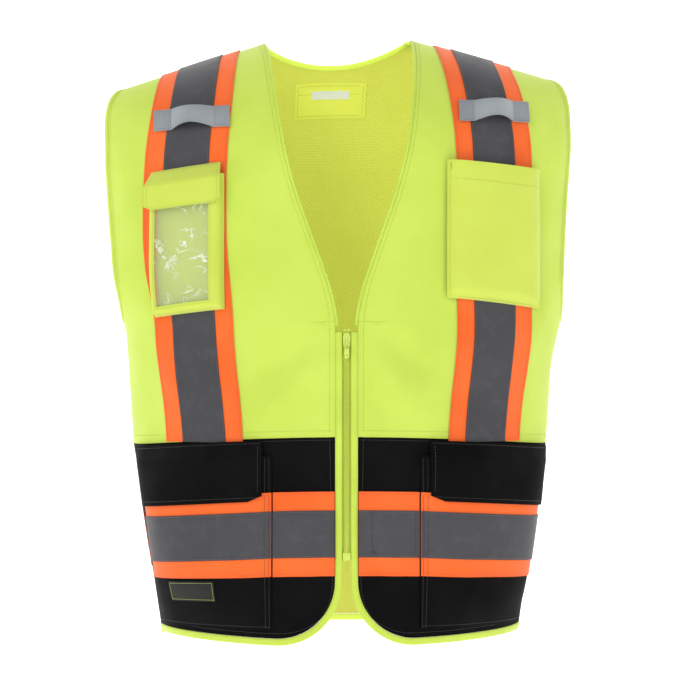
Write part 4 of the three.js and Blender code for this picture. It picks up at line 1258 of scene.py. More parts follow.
@dataclass
class Workshop:
    """Builds pieces, dresses them, and ties them to the frame."""

    wardrobe: Wardrobe
    threads: dict[str, Thread] = field(default_factory=dict)
    owners: dict[str, tuple[str, str]] = field(default_factory=dict)

    def dress(self, piece: bpy.types.Object, slot: Slot, body: str) -> None:
        """Gives a piece its finish, its slot and its body."""
        piece.data.materials.clear()
        piece.data.materials.append(self.wardrobe.by_slot[slot])
        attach(piece, body)
        LOG.info("%s: %d points", piece.name, len(piece.data.vertices))

    def sheet(
        self, sheet: Sheet, slot: Slot, rests_on: Sequence[str] = (), body: str = "vest", lining: bool = False
    ) -> bpy.types.Object:
        """Builds a cloth sheet in place of the frame's node of the same name.

        Args:
            sheet: The pattern piece; its name is a node's name with "cloth_" before it.
            slot: Its material slot.
            rests_on: Names of what it lies on; not used.
            body: Body that it rides on.
            lining: Whether it only lines another piece and stands for no node.

        Returns:
            The dressed piece.
        """
        node = sheet.name
        sheet.name = "cloth_" + node
        piece = sheet.build()
        self.dress(piece, slot, body)
        if not lining:
            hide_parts(node)
        return piece

    def trim(self, trim: Trim, slot: Slot, rests_on: Sequence[str] = ()) -> bpy.types.Object:
        """Builds a folded binding in place of the frame's node of the same name."""
        node = trim.name
        trim.name = "cloth_" + node
        piece = trim.build()
        self.dress(piece, slot, "vest")
        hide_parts(node)
        return piece

    def thread(self, color: str, body: str = "vest") -> Thread:
        """The thread of a colour that is sewn into a body."""
        key = f"{body}_{color}_stitching"
        if key not in self.threads:
            self.threads[key] = Thread(key)
            self.owners[key] = (color, body)
        return self.threads[key]

    def finish_threads(self) -> None:
        """Builds every thread's stitches."""
        for key, thread in self.threads.items():
            color, body = self.owners[key]
            piece = thread.build()
            piece.data.materials.append(self.wardrobe.thread[color])
            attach(piece, body)
            LOG.info("%s: %d stitches", key, len(piece.data.vertices) // 20)

    def hard(self, node: str, body: str, bevel: float) -> bpy.types.Object:
        """Moulded piece: the node's shape with its edges rounded.

        Args:
            node: Name of the frame's node.
            body: Body that it rides on.
            bevel: Radius of the edges, in millimetres.

        Returns:
            The dressed piece.
        """
        source = bpy.data.objects[node]
        mesh = source.data.copy()
        mesh.transform(source.matrix_world)
        mesh.name = "moulded_" + node
        made = bmesh.new()
        made.from_mesh(mesh)
        bmesh.ops.remove_doubles(made, verts=made.verts, dist=1e-6)
        bmesh.ops.dissolve_limit(made, angle_limit=0.02, verts=made.verts, edges=made.edges)
        sharp = [e for e in made.edges if e.is_manifold and e.calc_face_angle(0) > 0.5]
        bmesh.ops.bevel(
            made, geom=sharp, offset=bevel * MM, segments=3, profile=0.6, affect="EDGES", clamp_overlap=True
        )
        made.to_mesh(mesh)
        made.free()
        mesh.shade_smooth()
        piece = bpy.data.objects.new("moulded_" + node, mesh)
        bpy.context.scene.collection.objects.link(piece)
        sharpen(piece, 35)
        self.dress(piece, Slot.ZIP, body)
        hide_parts(node)
        return piece


# ---------------------------------------------------------------- sub-assemblies


@dataclass
class FrontHalf:
    """One front half: lime panel above, black panel below, with its bindings."""

    side: Side
    pitch: float = 5.0

    def upper(self) -> Sheet:
        """Lime chest panel from the waist seam to the shoulder."""
        s = self.side.value
        bottom = float(TORSO.down(CUT.seam_z))
        reaches = steps(
            bottom, float(TORSO.down(-405)), float(TORSO.down(CUT.underarm_z)), pitch=self.pitch
        )
        drop = CUT.flare_z - CUT.underarm_z
        turn = np.linspace(math.pi / 2, 0, 18)
        rounded = TORSO.down(CUT.flare_z - drop * np.sin(turn))
        reaches = np.concatenate(
            [reaches[:-1], rounded[:-1], steps(295, 175, 107, CUT.seam_gap / 2, pitch=self.pitch)]
        )

        def at(u: Grid, v: Grid) -> Spot:
            """Angle and way from shares across and up."""
            reach = np.interp(v, np.linspace(0, 1, len(reaches)), reaches)
            z = 45 - reach
            inner = np.arcsin(NECK_EDGE(reach) / TORSO.half_width(z))
            outer = side_angle(reach) - np.where(z <= CUT.underarm_z, CUT.seam_angle, 0)
            angle = lerp(inner, outer, u)
            fade = np.clip((-405 - z) / 29.5, 0, 1)
            return s * angle, -(reach + CUT.waist_dip * np.sin(angle) ** 2 * fade)

        return Sheet(
            f"{self.side.word}_front_panel",
            at,
            np.linspace(0, 1, 50),
            np.linspace(0, 1, len(reaches)),
            level(0),
            level(CUT.cloth),
        )

    def lower(self) -> Sheet:
        """Black panel from the waist seam to the rounded hem."""
        s = self.side.value
        turn = 0.225

        def at(u: Grid, v: Grid) -> Spot:
            """Angle and way from shares across and down."""
            hem_angle, hem_z = front_hem(lerp(turn, 1.0, u))
            _, corner_z = front_hem(turn)
            corner_angle, _ = front_hem(turn)
            straight_z = CUT.hem_z + CUT.corner
            inner_z = lerp(CUT.seam_z, corner_z, v)
            sunk = np.clip((straight_z - inner_z) / CUT.corner, 0, 1)
            curved = CUT.front_edge + CUT.corner * (1 - np.sqrt(1 - sunk * sunk))
            inner_x = np.where(inner_z > straight_z, CUT.front_edge, curved)
            top = math.asin(CUT.front_edge / TORSO.waist)
            top_angle = lerp(top, math.pi / 2 - CUT.seam_angle, u)
            inner_angle = np.arcsin(inner_x / TORSO.half_width(inner_z))
            angle = lerp(top_angle, hem_angle, v) + (inner_angle - lerp(top, corner_angle, v)) * (1 - u)
            x = TORSO.waist * np.sin(top_angle)
            top_z = CUT.seam_z - CUT.seam_gap - TORSO.dip(x, TORSO.waist_z, CUT.waist_dip)
            return s * angle, -TORSO.down(lerp(top_z, hem_z, v))

        return Sheet(
            f"{self.side.word}_lower_panel",
            at,
            np.linspace(0, 1, 50),
            np.linspace(0, 1, 46),
            level(0),
            level(CUT.cloth),
        )

    def neck_trim(self) -> Trim:
        """Narrow binding along the neck edge."""
        reach = steps(float(TORSO.down(-316)), 175, CUT.seam_gap / 2, pitch=4)
        angle = self.side.value * np.arcsin(NECK_EDGE(reach) / TORSO.half_width(45 - reach))
        s = self.side.value
        return Trim(f"{self.side.word}_neck_binding", angle, -reach, -s * 0.4, -s * 3.8)

    def front_trim(self) -> Trim:
        """Binding down the front edge, round the corner and along the hem."""
        z = steps(CUT.zip_top - 1, CUT.hem_z + CUT.corner + 1, pitch=5)
        angle, way = TORSO.front_spot(CUT.front_edge, z)
        hem_angle, hem_z = front_hem(np.minimum(np.linspace(0, 1, 90), 0.993))
        s = self.side.value
        return Trim(
            f"{self.side.word}_front_binding",
            s * np.concatenate([angle, hem_angle]),
            np.concatenate([way, -TORSO.down(hem_z)]),
            s * 0.15,
            s * (CUT.seam_gap + CUT.binding),
            low=-0.2,
        )

    def armhole_trim(self) -> Trim:
        """Binding round the armhole, front and back."""
        drop = CUT.flare_z - CUT.underarm_z
        rounded = TORSO.down(CUT.flare_z - drop * np.sin(np.linspace(math.pi / 2, 0, 24)))
        reach = np.concatenate([rounded[:-1], steps(295, 175, 107, CUT.seam_gap / 2, pitch=5)])
        edge = side_angle(reach)
        edge[0] = math.pi / 2 - 6 * CUT.seam_angle
        s = self.side.value
        return Trim(
            f"{self.side.word}_armhole_binding",
            s * np.concatenate([edge, edge[::-1]]),
            np.concatenate([-reach, reach[::-1]]),
            s * CUT.seam_gap,
            s * (CUT.seam_gap + CUT.binding - 1),
        )

    def build(self, shop: Workshop) -> None:
        """Makes the panels and bindings and sews them."""
        word = self.side.word
        upper, lower = self.upper(), self.lower()
        shop.sheet(upper, Slot.TRICOT)
        shop.sheet(lower, Slot.BLACK, ["cloth_" + word + "_front_panel"])
        along = np.linspace(0.01, 0.99, 240)
        lime, black = shop.thread("lime"), shop.thread("black")
        lime.sew(upper.line(0.016, along, 0.05))
        lime.sew(upper.line(0.984, along[90:], 0.05))
        lime.sew(upper.line(along, 0.013, 0.05))
        black.sew(lower.line(along, 0.014, 0.05))
        black.sew(lower.line(0.016, along, 0.05))
        black.sew(lower.line(along, 0.975, 0.05))
        for trim in (self.neck_trim(), self.front_trim(), self.armhole_trim()):
            shop.trim(trim, Slot.BINDING, ["cloth_" + word + "_front_panel"])
            lime.sew(trim.middle(0.22, -0.25))


@dataclass
class Back:
    """Mesh back with its neck and hem bindings, its tape band and the neck patch."""

    pitch: float = 5.5

    def panel(self) -> Sheet:
        """Back panel from the hem to the shoulders and the neckline."""
        drop = CUT.flare_z - CUT.underarm_z
        rounded = TORSO.down(CUT.flare_z - drop * np.sin(np.linspace(math.pi / 2, 0, 18)))
        reaches = np.concatenate(
            [
                steps(float(TORSO.down(CUT.hem_z)), float(TORSO.down(CUT.underarm_z)), pitch=self.pitch)[:-1],
                rounded[:-1],
                steps(295, 175, 107, CUT.seam_gap / 2, pitch=self.pitch),
            ]
        )
        neck_share = math.asin(TORSO.neck / TORSO.chest) / TIP
        shares = np.concatenate([np.linspace(0, neck_share, 18), np.linspace(neck_share, 1, 38)[1:]])
        mirrored = np.concatenate([-shares[:0:-1], shares])

        def at(u: Grid, v: Grid) -> Spot:
            """Angle and way from the share across, -1 to 1, and the share up."""
            reach = np.interp(v, np.linspace(0, 1, len(reaches)), reaches)
            z = 45 - reach
            edge = side_angle(reach) - np.where(z <= CUT.underarm_z, CUT.seam_angle, 0)
            top_x = TORSO.chest * np.sin(u * TIP)
            sunk = lerp(nape_way(top_x), TORSO.crown_arc, reach / TORSO.crown_arc)
            inside = (reach < TORSO.crown_arc) & (np.abs(u) < neck_share - 0.001)
            return u * edge, np.where(inside, sunk, reach)

        return Sheet("back_panel", at, mirrored, np.linspace(0, 1, len(reaches)), level(0), level(CUT.cloth))

    def band(self, name: str, height: float, low: float, thick: float) -> Sheet:
        """Tape across the back."""

        def at(u: Grid, v: Grid) -> Spot:
            """Angle and way from shares across and up."""
            angle = u * (math.pi / 2 - 2 * CUT.seam_angle)
            return angle, TORSO.down(CUT.band_z + (v - 0.5) * height)

        def sunk(u: Grid) -> Grid:
            """How far the tape is drawn in where the side seam holds it."""
            return (low - CUT.cloth - 0.1) * 0.8 * smooth(np.abs(u), 0.93, 1.0)

        return Sheet(
            name,
            at,
            np.linspace(-1, 1, 100),
            np.linspace(0, 1, 12),
            lambda u, v: low - sunk(u),
            lambda u, v: low + thick - sunk(u),
        )

    def patch(self, name: str, half: float, top: float, bottom: float, low: float, thick: float) -> Sheet:
        """Cloth patch inside the back neck."""

        def way_of(z: Grid) -> Grid:
            """Way down the middle of the back to a height."""
            rise = (np.asarray(z, float) - TORSO.crown_z) / (TORSO.nape - TORSO.crown_z)
            return TORSO.crown_arc * (1 - np.arcsin(rise) / (math.pi / 2))

        def at(u: Grid, v: Grid) -> Spot:
            """Angle and way from shares across and up."""
            return np.arcsin(lerp(-half, half, u) / TORSO.chest), way_of(lerp(bottom, top, v))

        return Sheet(name, at, np.linspace(0, 1, 22), np.linspace(0, 1, 14), level(low), level(low + thick))

    def build(self, shop: Workshop) -> None:
        """Makes the back and sews it."""
        panel = self.panel()
        shop.sheet(panel, Slot.MESH)
        neck_share = math.asin(TORSO.neck / TORSO.chest) / TIP
        share = np.linspace(-neck_share * 0.995, neck_share * 0.995, 60)
        nape_angle = share * TIP
        nape = Trim(
            "back_neck_binding", nape_angle, nape_way(TORSO.chest * np.sin(nape_angle)), 0.4, 6.7
        )
        hem_angle = np.linspace(-1, 1, 120) * (math.pi / 2 - 6 * CUT.seam_angle)
        hem = Trim("back_hem_binding", hem_angle, np.full(120, float(TORSO.down(CUT.hem_z))), -0.4, -7.7)
        lime, orange, grey = shop.thread("lime"), shop.thread("orange"), shop.thread("grey")
        # The back's bindings take the lit copy of the binding cloth, with painted light on the inside face.
        for trim in (nape, hem):
            shop.trim(trim, Slot.BINDING, ["cloth_back_panel"]).data.materials[0] = shop.wardrobe.back_trim_painted_light
            lime.sew(trim.middle(0.25, -0.25))
        backing = self.band("back_band_backing", CUT.backing, CUT.tape_low, CUT.tape)
        foil = self.band("back_band_reflector", CUT.reflector, CUT.foil_low, CUT.foil)
        shop.sheet(backing, Slot.ORANGE, ["cloth_back_panel"])
        shop.sheet(foil, Slot.SILVER, ["cloth_back_band_backing"])
        along = np.linspace(-0.995, 0.995, 260)
        for share_up in (0.03, 0.97):
            orange.sew(backing.line(along, share_up, 0.05))
            grey.sew(foil.line(along, share_up, 0.05))
        patch = self.patch("neck_patch", 41, -33, -72, -1.7, 1.1)
        label = self.patch("neck_label", 22, -41, -50, -2.8, 0.6)
        # The patch takes the lit copy of the pocket cloth, with painted light on its inside face.
        shop.sheet(patch, Slot.POCKET, ["cloth_back_panel"]).data.materials[0] = shop.wardrobe.patch
        shop.sheet(label, Slot.LABEL, ["cloth_neck_patch"])
        self._patch_seams(patch, lime)

    @staticmethod
    def _patch_seams(patch: Sheet, lime: Thread) -> None:
        """Sews the patch's border and the line near its top on the inner face."""
        along = np.linspace(0.04, 0.96, 60)
        deeper = -1.2
        for u, v in ((0.04, along), (0.96, along), (along, 0.08), (along, 0.93), (along, 0.7)):
            lime.sew(patch.line(u, v, deeper))


@dataclass
class Braces:
    """Orange and silver tape over one shoulder, and the microphone tab across it."""

    side: Side

    def tape(self, name: str, width: float, low: float, thick: float) -> Sheet:
        """Tape from the front waist over the shoulder to the back band."""
        s = self.side.value
        front = steps(-float(TORSO.down(CUT.seam_z - 6.5)), -175, 0, pitch=5)
        back_end = float(TORSO.down(CUT.band_z + CUT.backing / 2 + CUT.seam_gap))
        ways = np.concatenate([front[:-1], steps(0, 175, back_end, pitch=5)])

        def at(u: Grid, v: Grid) -> Spot:
            """Angle and way from shares across and along."""
            way = np.interp(v, np.linspace(0, 1, len(ways)), ways)
            reach = np.abs(way)
            lean = np.where(way < 0, 3.5 * smooth(reach, 0, 60) * (1 - smooth(reach, 255, 375)), 0)
            x = s * (BRACE_CENTRE(reach) + (u - 0.5) * width) - lean
            return np.arcsin(x / TORSO.half_width(45 - reach)), way

        us = np.linspace(0, 1, 19 if width > CUT.brace_reflector else 11)
        return Sheet(name, at, us, np.linspace(0, 1, len(ways)), level(low), level(low + thick))

    def tab(self) -> Sheet:
        """Webbing tab that bows off the brace between its two sewn ends."""
        s = self.side.value

        def at(u: Grid, v: Grid) -> Spot:
            """Angle and way from shares across and up."""
            raised = np.sin(math.pi * np.clip((u - 0.22) / 0.56, 0, 1)) * (3.5 - 5.5 * v)
            return TORSO.front_spot(s * lerp(121.5, 197.0, u), -89.5 + (v - 0.5) * 22 + raised)

        def bow(u: Grid, v: Grid) -> Grid:
            """How far the tab stands off the brace."""
            t = np.clip((u - 0.22) / 0.56, 0, 1)
            return np.sin(math.pi * t) * 10

        return Sheet(
            f"{self.side.word}_mic_tab",
            at,
            steps(0, 0.22, 0.78, 1, pitch=0.02),
            np.linspace(0, 1, 9),
            lambda u, v: CUT.over_tapes + 0.2 + bow(u, v),
            lambda u, v: CUT.over_tapes + 1.6 + bow(u, v),
        )

    def build(self, shop: Workshop) -> None:
        """Makes the tapes and the tab and sews them."""
        word = self.side.word
        backing = self.tape(f"{word}_brace_backing", CUT.brace_backing, CUT.tape_low, CUT.tape)
        foil = self.tape(f"{word}_brace_reflector", CUT.brace_reflector, CUT.foil_low, CUT.foil)
        shop.sheet(backing, Slot.ORANGE, [f"cloth_{word}_front_panel", "cloth_back_panel"])
        shop.sheet(foil, Slot.SILVER, [f"cloth_{word}_brace_backing"])
        along = np.linspace(0.002, 0.998, 500)
        for share in (0.025, 0.975):
            shop.thread("orange").sew(backing.line(share, along, 0.05))
            shop.thread("grey").sew(foil.line(share, along, 0.05))
        tab = self.tab()
        shop.sheet(tab, Slot.WEBBING, [f"cloth_{word}_brace_reflector"])
        up = np.linspace(0.05, 0.95, 20)
        dark = shop.thread("dark")
        for low, high in ((0.02, 0.21), (0.79, 0.98)):
            for share in np.linspace(low, high, 9):
                dark.sew(tab.line(share, up, 0.05), pitch=2.4)
        for share in (0.06, 0.94):
            for low, high in ((0.01, 0.21), (0.79, 0.99)):
                dark.sew(tab.line(np.linspace(low, high, 12), share, 0.05), pitch=2.0)


@dataclass
class WaistBand:
    """Front piece of the waist band between the front edge and the cargo pouch."""

    side: Side

    def strip(self, name: str, height: float, low: float, thick: float) -> Sheet:
        """One tape of the band."""
        s = self.side.value

        def at(u: Grid, v: Grid) -> Spot:
            """Angle and way from shares across and up."""
            z = CUT.band_z + (v - 0.5) * height
            x = lerp(CUT.front_edge + CUT.seam_gap, 79 - 2 * CUT.gap, u)
            angle = np.arcsin(x / TORSO.half_width(z))
            return s * angle, -TORSO.down(z - CUT.waist_dip * np.sin(angle) ** 2)

        vs = np.linspace(0, 1, 14)
        return Sheet(name, at, np.linspace(0, 1, 15), vs, level(low), level(low + thick))

    def build(self, shop: Workshop) -> None:
        """Makes the two tapes and sews them, with the pocket divisions stitched through."""
        word = self.side.word
        backing = self.strip(f"{word}_band_backing", CUT.backing, CUT.tape_low, CUT.tape)
        foil = self.strip(f"{word}_band_reflector", CUT.reflector, CUT.foil_low, CUT.foil)
        shop.sheet(backing, Slot.ORANGE, [f"cloth_{word}_lower_panel"])
        shop.sheet(foil, Slot.SILVER, [f"cloth_{word}_band_backing"])
        along = np.linspace(0.01, 0.99, 60)
        for share in (0.03, 0.97):
            shop.thread("orange").sew(backing.line(along, share, 0.05))
            shop.thread("grey").sew(foil.line(along, share, 0.05))
        black = shop.thread("black")
        if self.side is Side.LEFT:
            for across in (0.22, 0.93):
                black.sew(foil.line(across, np.linspace(0.1, 0.98, 30), 0.1), pitch=2.4)
            foot = foil.line(0.22, 0.12, 0.1)
            black.bar(foot + np.array([-1.0, 0, 0]), foot + np.array([4.5, 0, -1.5]), 3.0)
            foot = foil.line(0.93, 0.12, 0.1)
            black.bar(foot + np.array([-4.5, 0, -1.5]), foot + np.array([1.0, 0, 0]), 3.0)


@dataclass
class CargoPocket:
    """Bellows pouch with its tapes and its hinged flap, on one lower panel."""

    side: Side
    inner_x: float = 79.0
    outer: float = math.radians(75)
    bulge: float = 12.0
    chamfer: float = 12.0

    def stand(self, u: Grid, z: Grid) -> Grid:
        """How far the pouch stands off its panel."""
        across = 1 - (2 * np.clip(u, 0, 1) - 1) ** 4
        rise = 1 - (1 - np.clip((z + 641) / 60, 0, 1)) ** 2
        mouth = 1 - 0.3 * smooth(z, -500, CUT.pouch_top)
        crumple = 0.5 * np.sin(u * 19 + z * 0.05) * across * rise
        return self.bulge * across * rise * mouth + crumple * smooth(-z, 460, 480) * 0.4

    def spot(self, u: Grid, z: Grid) -> Spot:
        """Angle and way of a share across the pouch at a height."""
        inner = np.arcsin(self.inner_x / TORSO.half_width(z))
        angle = lerp(inner, self.outer, u)
        sink = CUT.waist_dip * np.sin(angle) ** 2 * smooth(z, CUT.hem_z, CUT.band_z)
        return self.side.value * angle, -TORSO.down(z - sink)

    def layer(
        self, name: str, low_z: float, high_z: float, low: float, thick: float, start: float = 0, end: float = 1
    ) -> Sheet:
        """Cloth that follows the pouch between two heights."""
        count = max(2, math.ceil((end - start) * 44))
        rows = max(2, math.ceil((high_z - low_z) / 4.5))
        height = lambda v: lerp(low_z, high_z, v)
        share = lambda u: lerp(start, end, u)
        return Sheet(
            name,
            lambda u, v: self.spot(share(u), height(v)),
            np.linspace(0, 1, count),
            np.linspace(0, 1, rows),
            lambda u, v: low + self.stand(share(u), height(v)),
            lambda u, v: low + thick + self.stand(share(u), height(v)),
        )

    def flap(self) -> Sheet:
        """Flap from the waist seam down over the pouch mouth, with cut corners."""
        top, end = CUT.seam_z - 2.5, -501.0

        def share(u: Grid, v: Grid) -> Grid:
            """Share across the pouch, drawn in at the cut corners."""
            z = lerp(end, top, v)
            inset = self.chamfer / 170 * np.clip((-495.5 - z) / 5.5, 0, 1)
            return lerp(0.045 + inset, 1 - inset, u)

        def open_out(u: Grid, v: Grid, extra: float) -> Grid:
            """Offset that grows from the sewn edge to lie over the pouch."""
            z = lerp(end, top, v)
            over = CUT.flap_low + self.stand(share(u, v), np.minimum(z, CUT.pouch_top))
            turned = np.clip((top - z) / (top - CUT.pouch_top), 0, 1)
            return lerp(CUT.over_tapes, over, turned) + extra

        vs = np.concatenate([np.linspace(0, 5.5 / 64, 5), np.linspace(5.5 / 64, 1, 15)[1:]])
        return Sheet(
            f"{self.side.word}_cargo_flap",
            lambda u, v: self.spot(share(u, v), lerp(end, top, v)),
            np.linspace(0, 1, 44),
            vs,
            lambda u, v: open_out(u, v, 0.0),
            lambda u, v: open_out(u, v, CUT.cloth),
        )

    def build(self, shop: Workshop) -> None:
        """Makes the pouch, its tapes, its fasteners and its flap, and sews them."""
        word = self.side.word
        half, foil_half = CUT.backing / 2, CUT.reflector / 2
        pouch = self.layer(f"{word}_cargo_pouch", -641, CUT.pouch_top, CUT.tape_low, CUT.cloth - 0.2)
        backing = self.layer(
            f"{word}_pouch_backing", CUT.band_z - half, CUT.band_z + half, CUT.pouch_face + CUT.gap, CUT.tape
        )
        foil_low = CUT.pouch_face + 2 * CUT.gap + CUT.tape
        foil = self.layer(
            f"{word}_pouch_reflector", CUT.band_z - foil_half, CUT.band_z + foil_half, foil_low, CUT.foil
        )
        span = (5 / 12, 7 / 12)
        loop = self.layer(f"{word}_pouch_loop", -487, -470, CUT.pouch_face + CUT.gap, CUT.hook, *span)
        hook = self.layer(
            f"{word}_flap_hook", -487, -470, CUT.flap_low - CUT.gap - CUT.hook, CUT.hook, *span
        )
        body = f"{word}_cargo_flap"
        shop.sheet(pouch, Slot.BLACK, [f"cloth_{word}_lower_panel"])
        shop.sheet(backing, Slot.ORANGE, [f"cloth_{word}_cargo_pouch"])
        shop.sheet(foil, Slot.SILVER, [f"cloth_{word}_pouch_backing"])
        shop.sheet(loop, Slot.HOOK, [f"cloth_{word}_cargo_pouch"])
        flap = self.flap()
        shop.sheet(hook, Slot.HOOK, [f"cloth_{word}_pouch_loop"], body)
        shop.sheet(flap, Slot.BLACK, [f"cloth_{word}_cargo_pouch"], body)
        along = np.linspace(0.01, 0.99, 120)
        for share in (0.03, 0.97):
            shop.thread("orange").sew(backing.line(along, share, 0.05))
            shop.thread("grey").sew(foil.line(along, share, 0.05))
        black = shop.thread("black")
        for share in (0.012, 0.034):
            black.sew(pouch.line(share, along, 0.1), pitch=2.6)
            black.sew(backing.line(share, along, 0.1), pitch=2.6)
            black.sew(foil.line(share, along, 0.1), pitch=2.6)
        black.sew(pouch.line(along, 0.02, 0.1))
        flap_thread = shop.thread("black", body)
        flap_thread.sew(flap.line(along, 0.07, 0.05))
        flap_thread.sew(flap.line(along, 0.96, 0.05))
        for share in (0.02, 0.98):
            flap_thread.sew(flap.line(share, np.linspace(0.16, 0.96, 40), 0.05))


@dataclass
class ChestPocket:
    """Open patch pocket on the left chest."""

    inner: float = 107.0
    outer: float = 207.0
    top: float = -141.0
    bottom: float = -286.0
    bulge: float = 11.0
    edge: float = 0.16

    def stand(self, u: Grid, v: Grid) -> Grid:
        """How far the pocket stands off the chest."""
        wall = lambda t: np.clip(t / self.edge, 0, 1) * (2 - np.clip(t / self.edge, 0, 1))
        slack = 0.6 * np.sin(u * 6.1 + v * 2.0) * np.sin(v * 7.2) * wall(np.minimum(u, 1 - u))
        return self.bulge * wall(np.minimum(u, 1 - u)) * wall(v * 1.8) + slack

    def build(self, shop: Workshop) -> None:
        """Makes the pocket and sews it on."""

        def at(u: Grid, v: Grid) -> Spot:
            """Angle and way from shares across and up."""
            x, z = lerp(self.inner, self.outer, u), lerp(self.bottom, self.top, v)
            sunk = z - TORSO.dip(x, z, CUT.chest_dip) + TORSO.dip(self.inner, z, CUT.chest_dip)
            return TORSO.front_spot(x, sunk)

        pocket = Sheet(
            "chest_pocket",
            at,
            np.linspace(0, 1, 34),
            np.linspace(0, 1, 42),
            lambda u, v: CUT.over_tapes + self.stand(u, v),
            lambda u, v: CUT.pocket_face + self.stand(u, v),
        )
        shop.sheet(pocket, Slot.POCKET, ["cloth_left_front_panel"])
        lime = shop.thread("lime")
        along = np.linspace(0.02, 0.98, 80)
        for u, v in ((0.022, along), (0.978, along), (along, 0.016), (along, 0.865)):
            lime.sew(pocket.line(u, v, 0.05))
        corner = pocket.line(0.03, 0.955, 0.3)
        lime.bar(corner + np.array([0, 0, -4.0]), corner + np.array([0, 0, 3.5]), 2.2)


@dataclass
class IdPocket:
    """Identity pocket on the right chest: gusseted box, clear window and hinged flap."""

    inner: float = 127.5
    outer: float = 199.0
    top: float = -137.0
    bottom: float = -298.0
    flap_end: float = -181.0
    bulge: float = 11.0
    edge: float = 0.07

    def spot(self, u: Grid, v: Grid) -> Spot:
        """Angle and way of shares across and up the pocket."""
        x, z = lerp(self.inner, self.outer, u), lerp(self.bottom, self.top, v)
        sunk = z - TORSO.dip(x, z, CUT.chest_dip) + TORSO.dip(self.inner, z, CUT.chest_dip)
        return TORSO.front_spot(-x, sunk)

    def stand(self, u: Grid, v: Grid) -> Grid:
        """How far the pocket stands off the chest."""
        wall = lambda t: np.clip(t / self.edge, 0, 1) * (2 - np.clip(t / self.edge, 0, 1))
        return self.bulge * wall(np.minimum(u, 1 - u)) * wall(v * 1.8)

    def layer(
        self, name: str, us: Grid, vs: Grid, low: float, thick: float, kept: Callable[[Grid, Grid], Grid] | None = None
    ) -> Sheet:
        """Cloth that follows the pocket over the given shares."""
        return Sheet(
            name,
            self.spot,
            us,
            vs,
            lambda u, v: low + self.stand(u, v),
            lambda u, v: low + thick + self.stand(u, v),
            kept,
        )

    def flap(self) -> Sheet:
        """Flap with its lower corners cut."""
        end = (self.flap_end - self.bottom) / (self.top - self.bottom)

        def share(u: Grid, v: Grid) -> Grid:
            """Share across the pocket, drawn in at the cut corners."""
            inset = 0.1 * np.clip((0.76 - v) / (0.76 - end), 0, 1)
            return lerp(inset + 0.05 * np.clip((v - 0.9) / 0.1, 0, 1), 1 - inset, u)

        def offset(u: Grid, v: Grid, extra: float) -> Grid:
            """Offset that grows from the sewn edge to lie over the pocket."""
            steady = np.clip(share(u, v), 0.07, 0.93)
            over = CUT.id_flap_low + self.stand(steady, np.minimum(v, 0.9))
            return lerp(CUT.over_tapes, over, np.clip((1 - v) / 0.1, 0, 1)) + extra

        return Sheet(
            "id_flap",
            lambda u, v: self.spot(share(u, v), v),
            np.linspace(0, 1, 30),
            steps(1, 0.9, 0.76, end, pitch=0.022),
            lambda u, v: offset(u, v, 0.0),
            lambda u, v: offset(u, v, CUT.cloth),
        )

    def build(self, shop: Workshop) -> None:
        """Makes the box, the window, the fasteners and the flap, and sews them."""
        us = steps(0, 0.035, 0.07, 0.17, 0.89, 0.93, 0.965, 1, pitch=0.035)
        vs = steps(0, 0.02, 0.04, 0.07, 0.76, 0.92, pitch=0.025)
        pane = lambda u, v: ~((u > 0.17) & (u < 0.89) & (v > 0.07) & (v < 0.76))
        box = self.layer("id_pocket", us, vs, CUT.over_tapes, CUT.cloth, pane)
        window_us = steps(0.11, 0.17, 0.89, 0.925, pitch=0.03)
        window_vs = steps(0.05, 0.07, 0.76, 0.79, pitch=0.025)
        window = self.layer("id_window", window_us, window_vs, CUT.over_tapes - CUT.gap - 0.5, 0.5)
        hook_us, hook_vs = np.linspace(0.41, 0.65, 10), np.linspace(0.79, 0.87, 8)
        hook = self.layer("id_flap_hook", hook_us, hook_vs, CUT.id_flap_low - CUT.gap - CUT.hook, CUT.hook)
        loop = self.layer("id_pocket_loop", hook_us, hook_vs, CUT.pocket_face + CUT.gap, CUT.hook)
        flap = self.flap()
        behind = CUT.over_tapes - CUT.gap
        lining = Sheet("id_lining", self.spot, steps(0.1, 0.93, pitch=0.03), vs, level(behind), level(behind + 0.3))
        shop.sheet(lining, Slot.POCKET, ["cloth_right_front_panel"], lining=True)
        shop.sheet(box, Slot.POCKET, ["cloth_right_front_panel"])
        shop.sheet(window, Slot.VINYL, ["cloth_id_pocket"])
        shop.sheet(loop, Slot.HOOK, ["cloth_id_pocket"])
        shop.sheet(hook, Slot.HOOK, ["cloth_id_pocket_loop"], "id_flap")
        shop.sheet(flap, Slot.POCKET, ["cloth_id_pocket"], "id_flap")
        lime = shop.thread("lime")
        along = np.linspace(0, 1, 80)
        for u, v in (
            (0.15, lerp(0.06, 0.77, along)),
            (0.905, lerp(0.06, 0.77, along)),
            (lerp(0.15, 0.905, along), 0.055),
            (0.015, lerp(0.01, 0.9, along)),
            (0.985, lerp(0.01, 0.9, along)),
        ):
            lime.sew(box.line(u, v, 0.05))
        thread = shop.thread("lime", "id_flap")
        inset = lerp(0.03, 0.97, along)
        thread.sew(flap.line(inset, 0.735, 0.05))
        thread.sew(flap.line(inset, 0.985, 0.05))
        for share in (0.035, 0.965):
            thread.sew(flap.line(share, lerp(0.74, 0.98, along), 0.05))


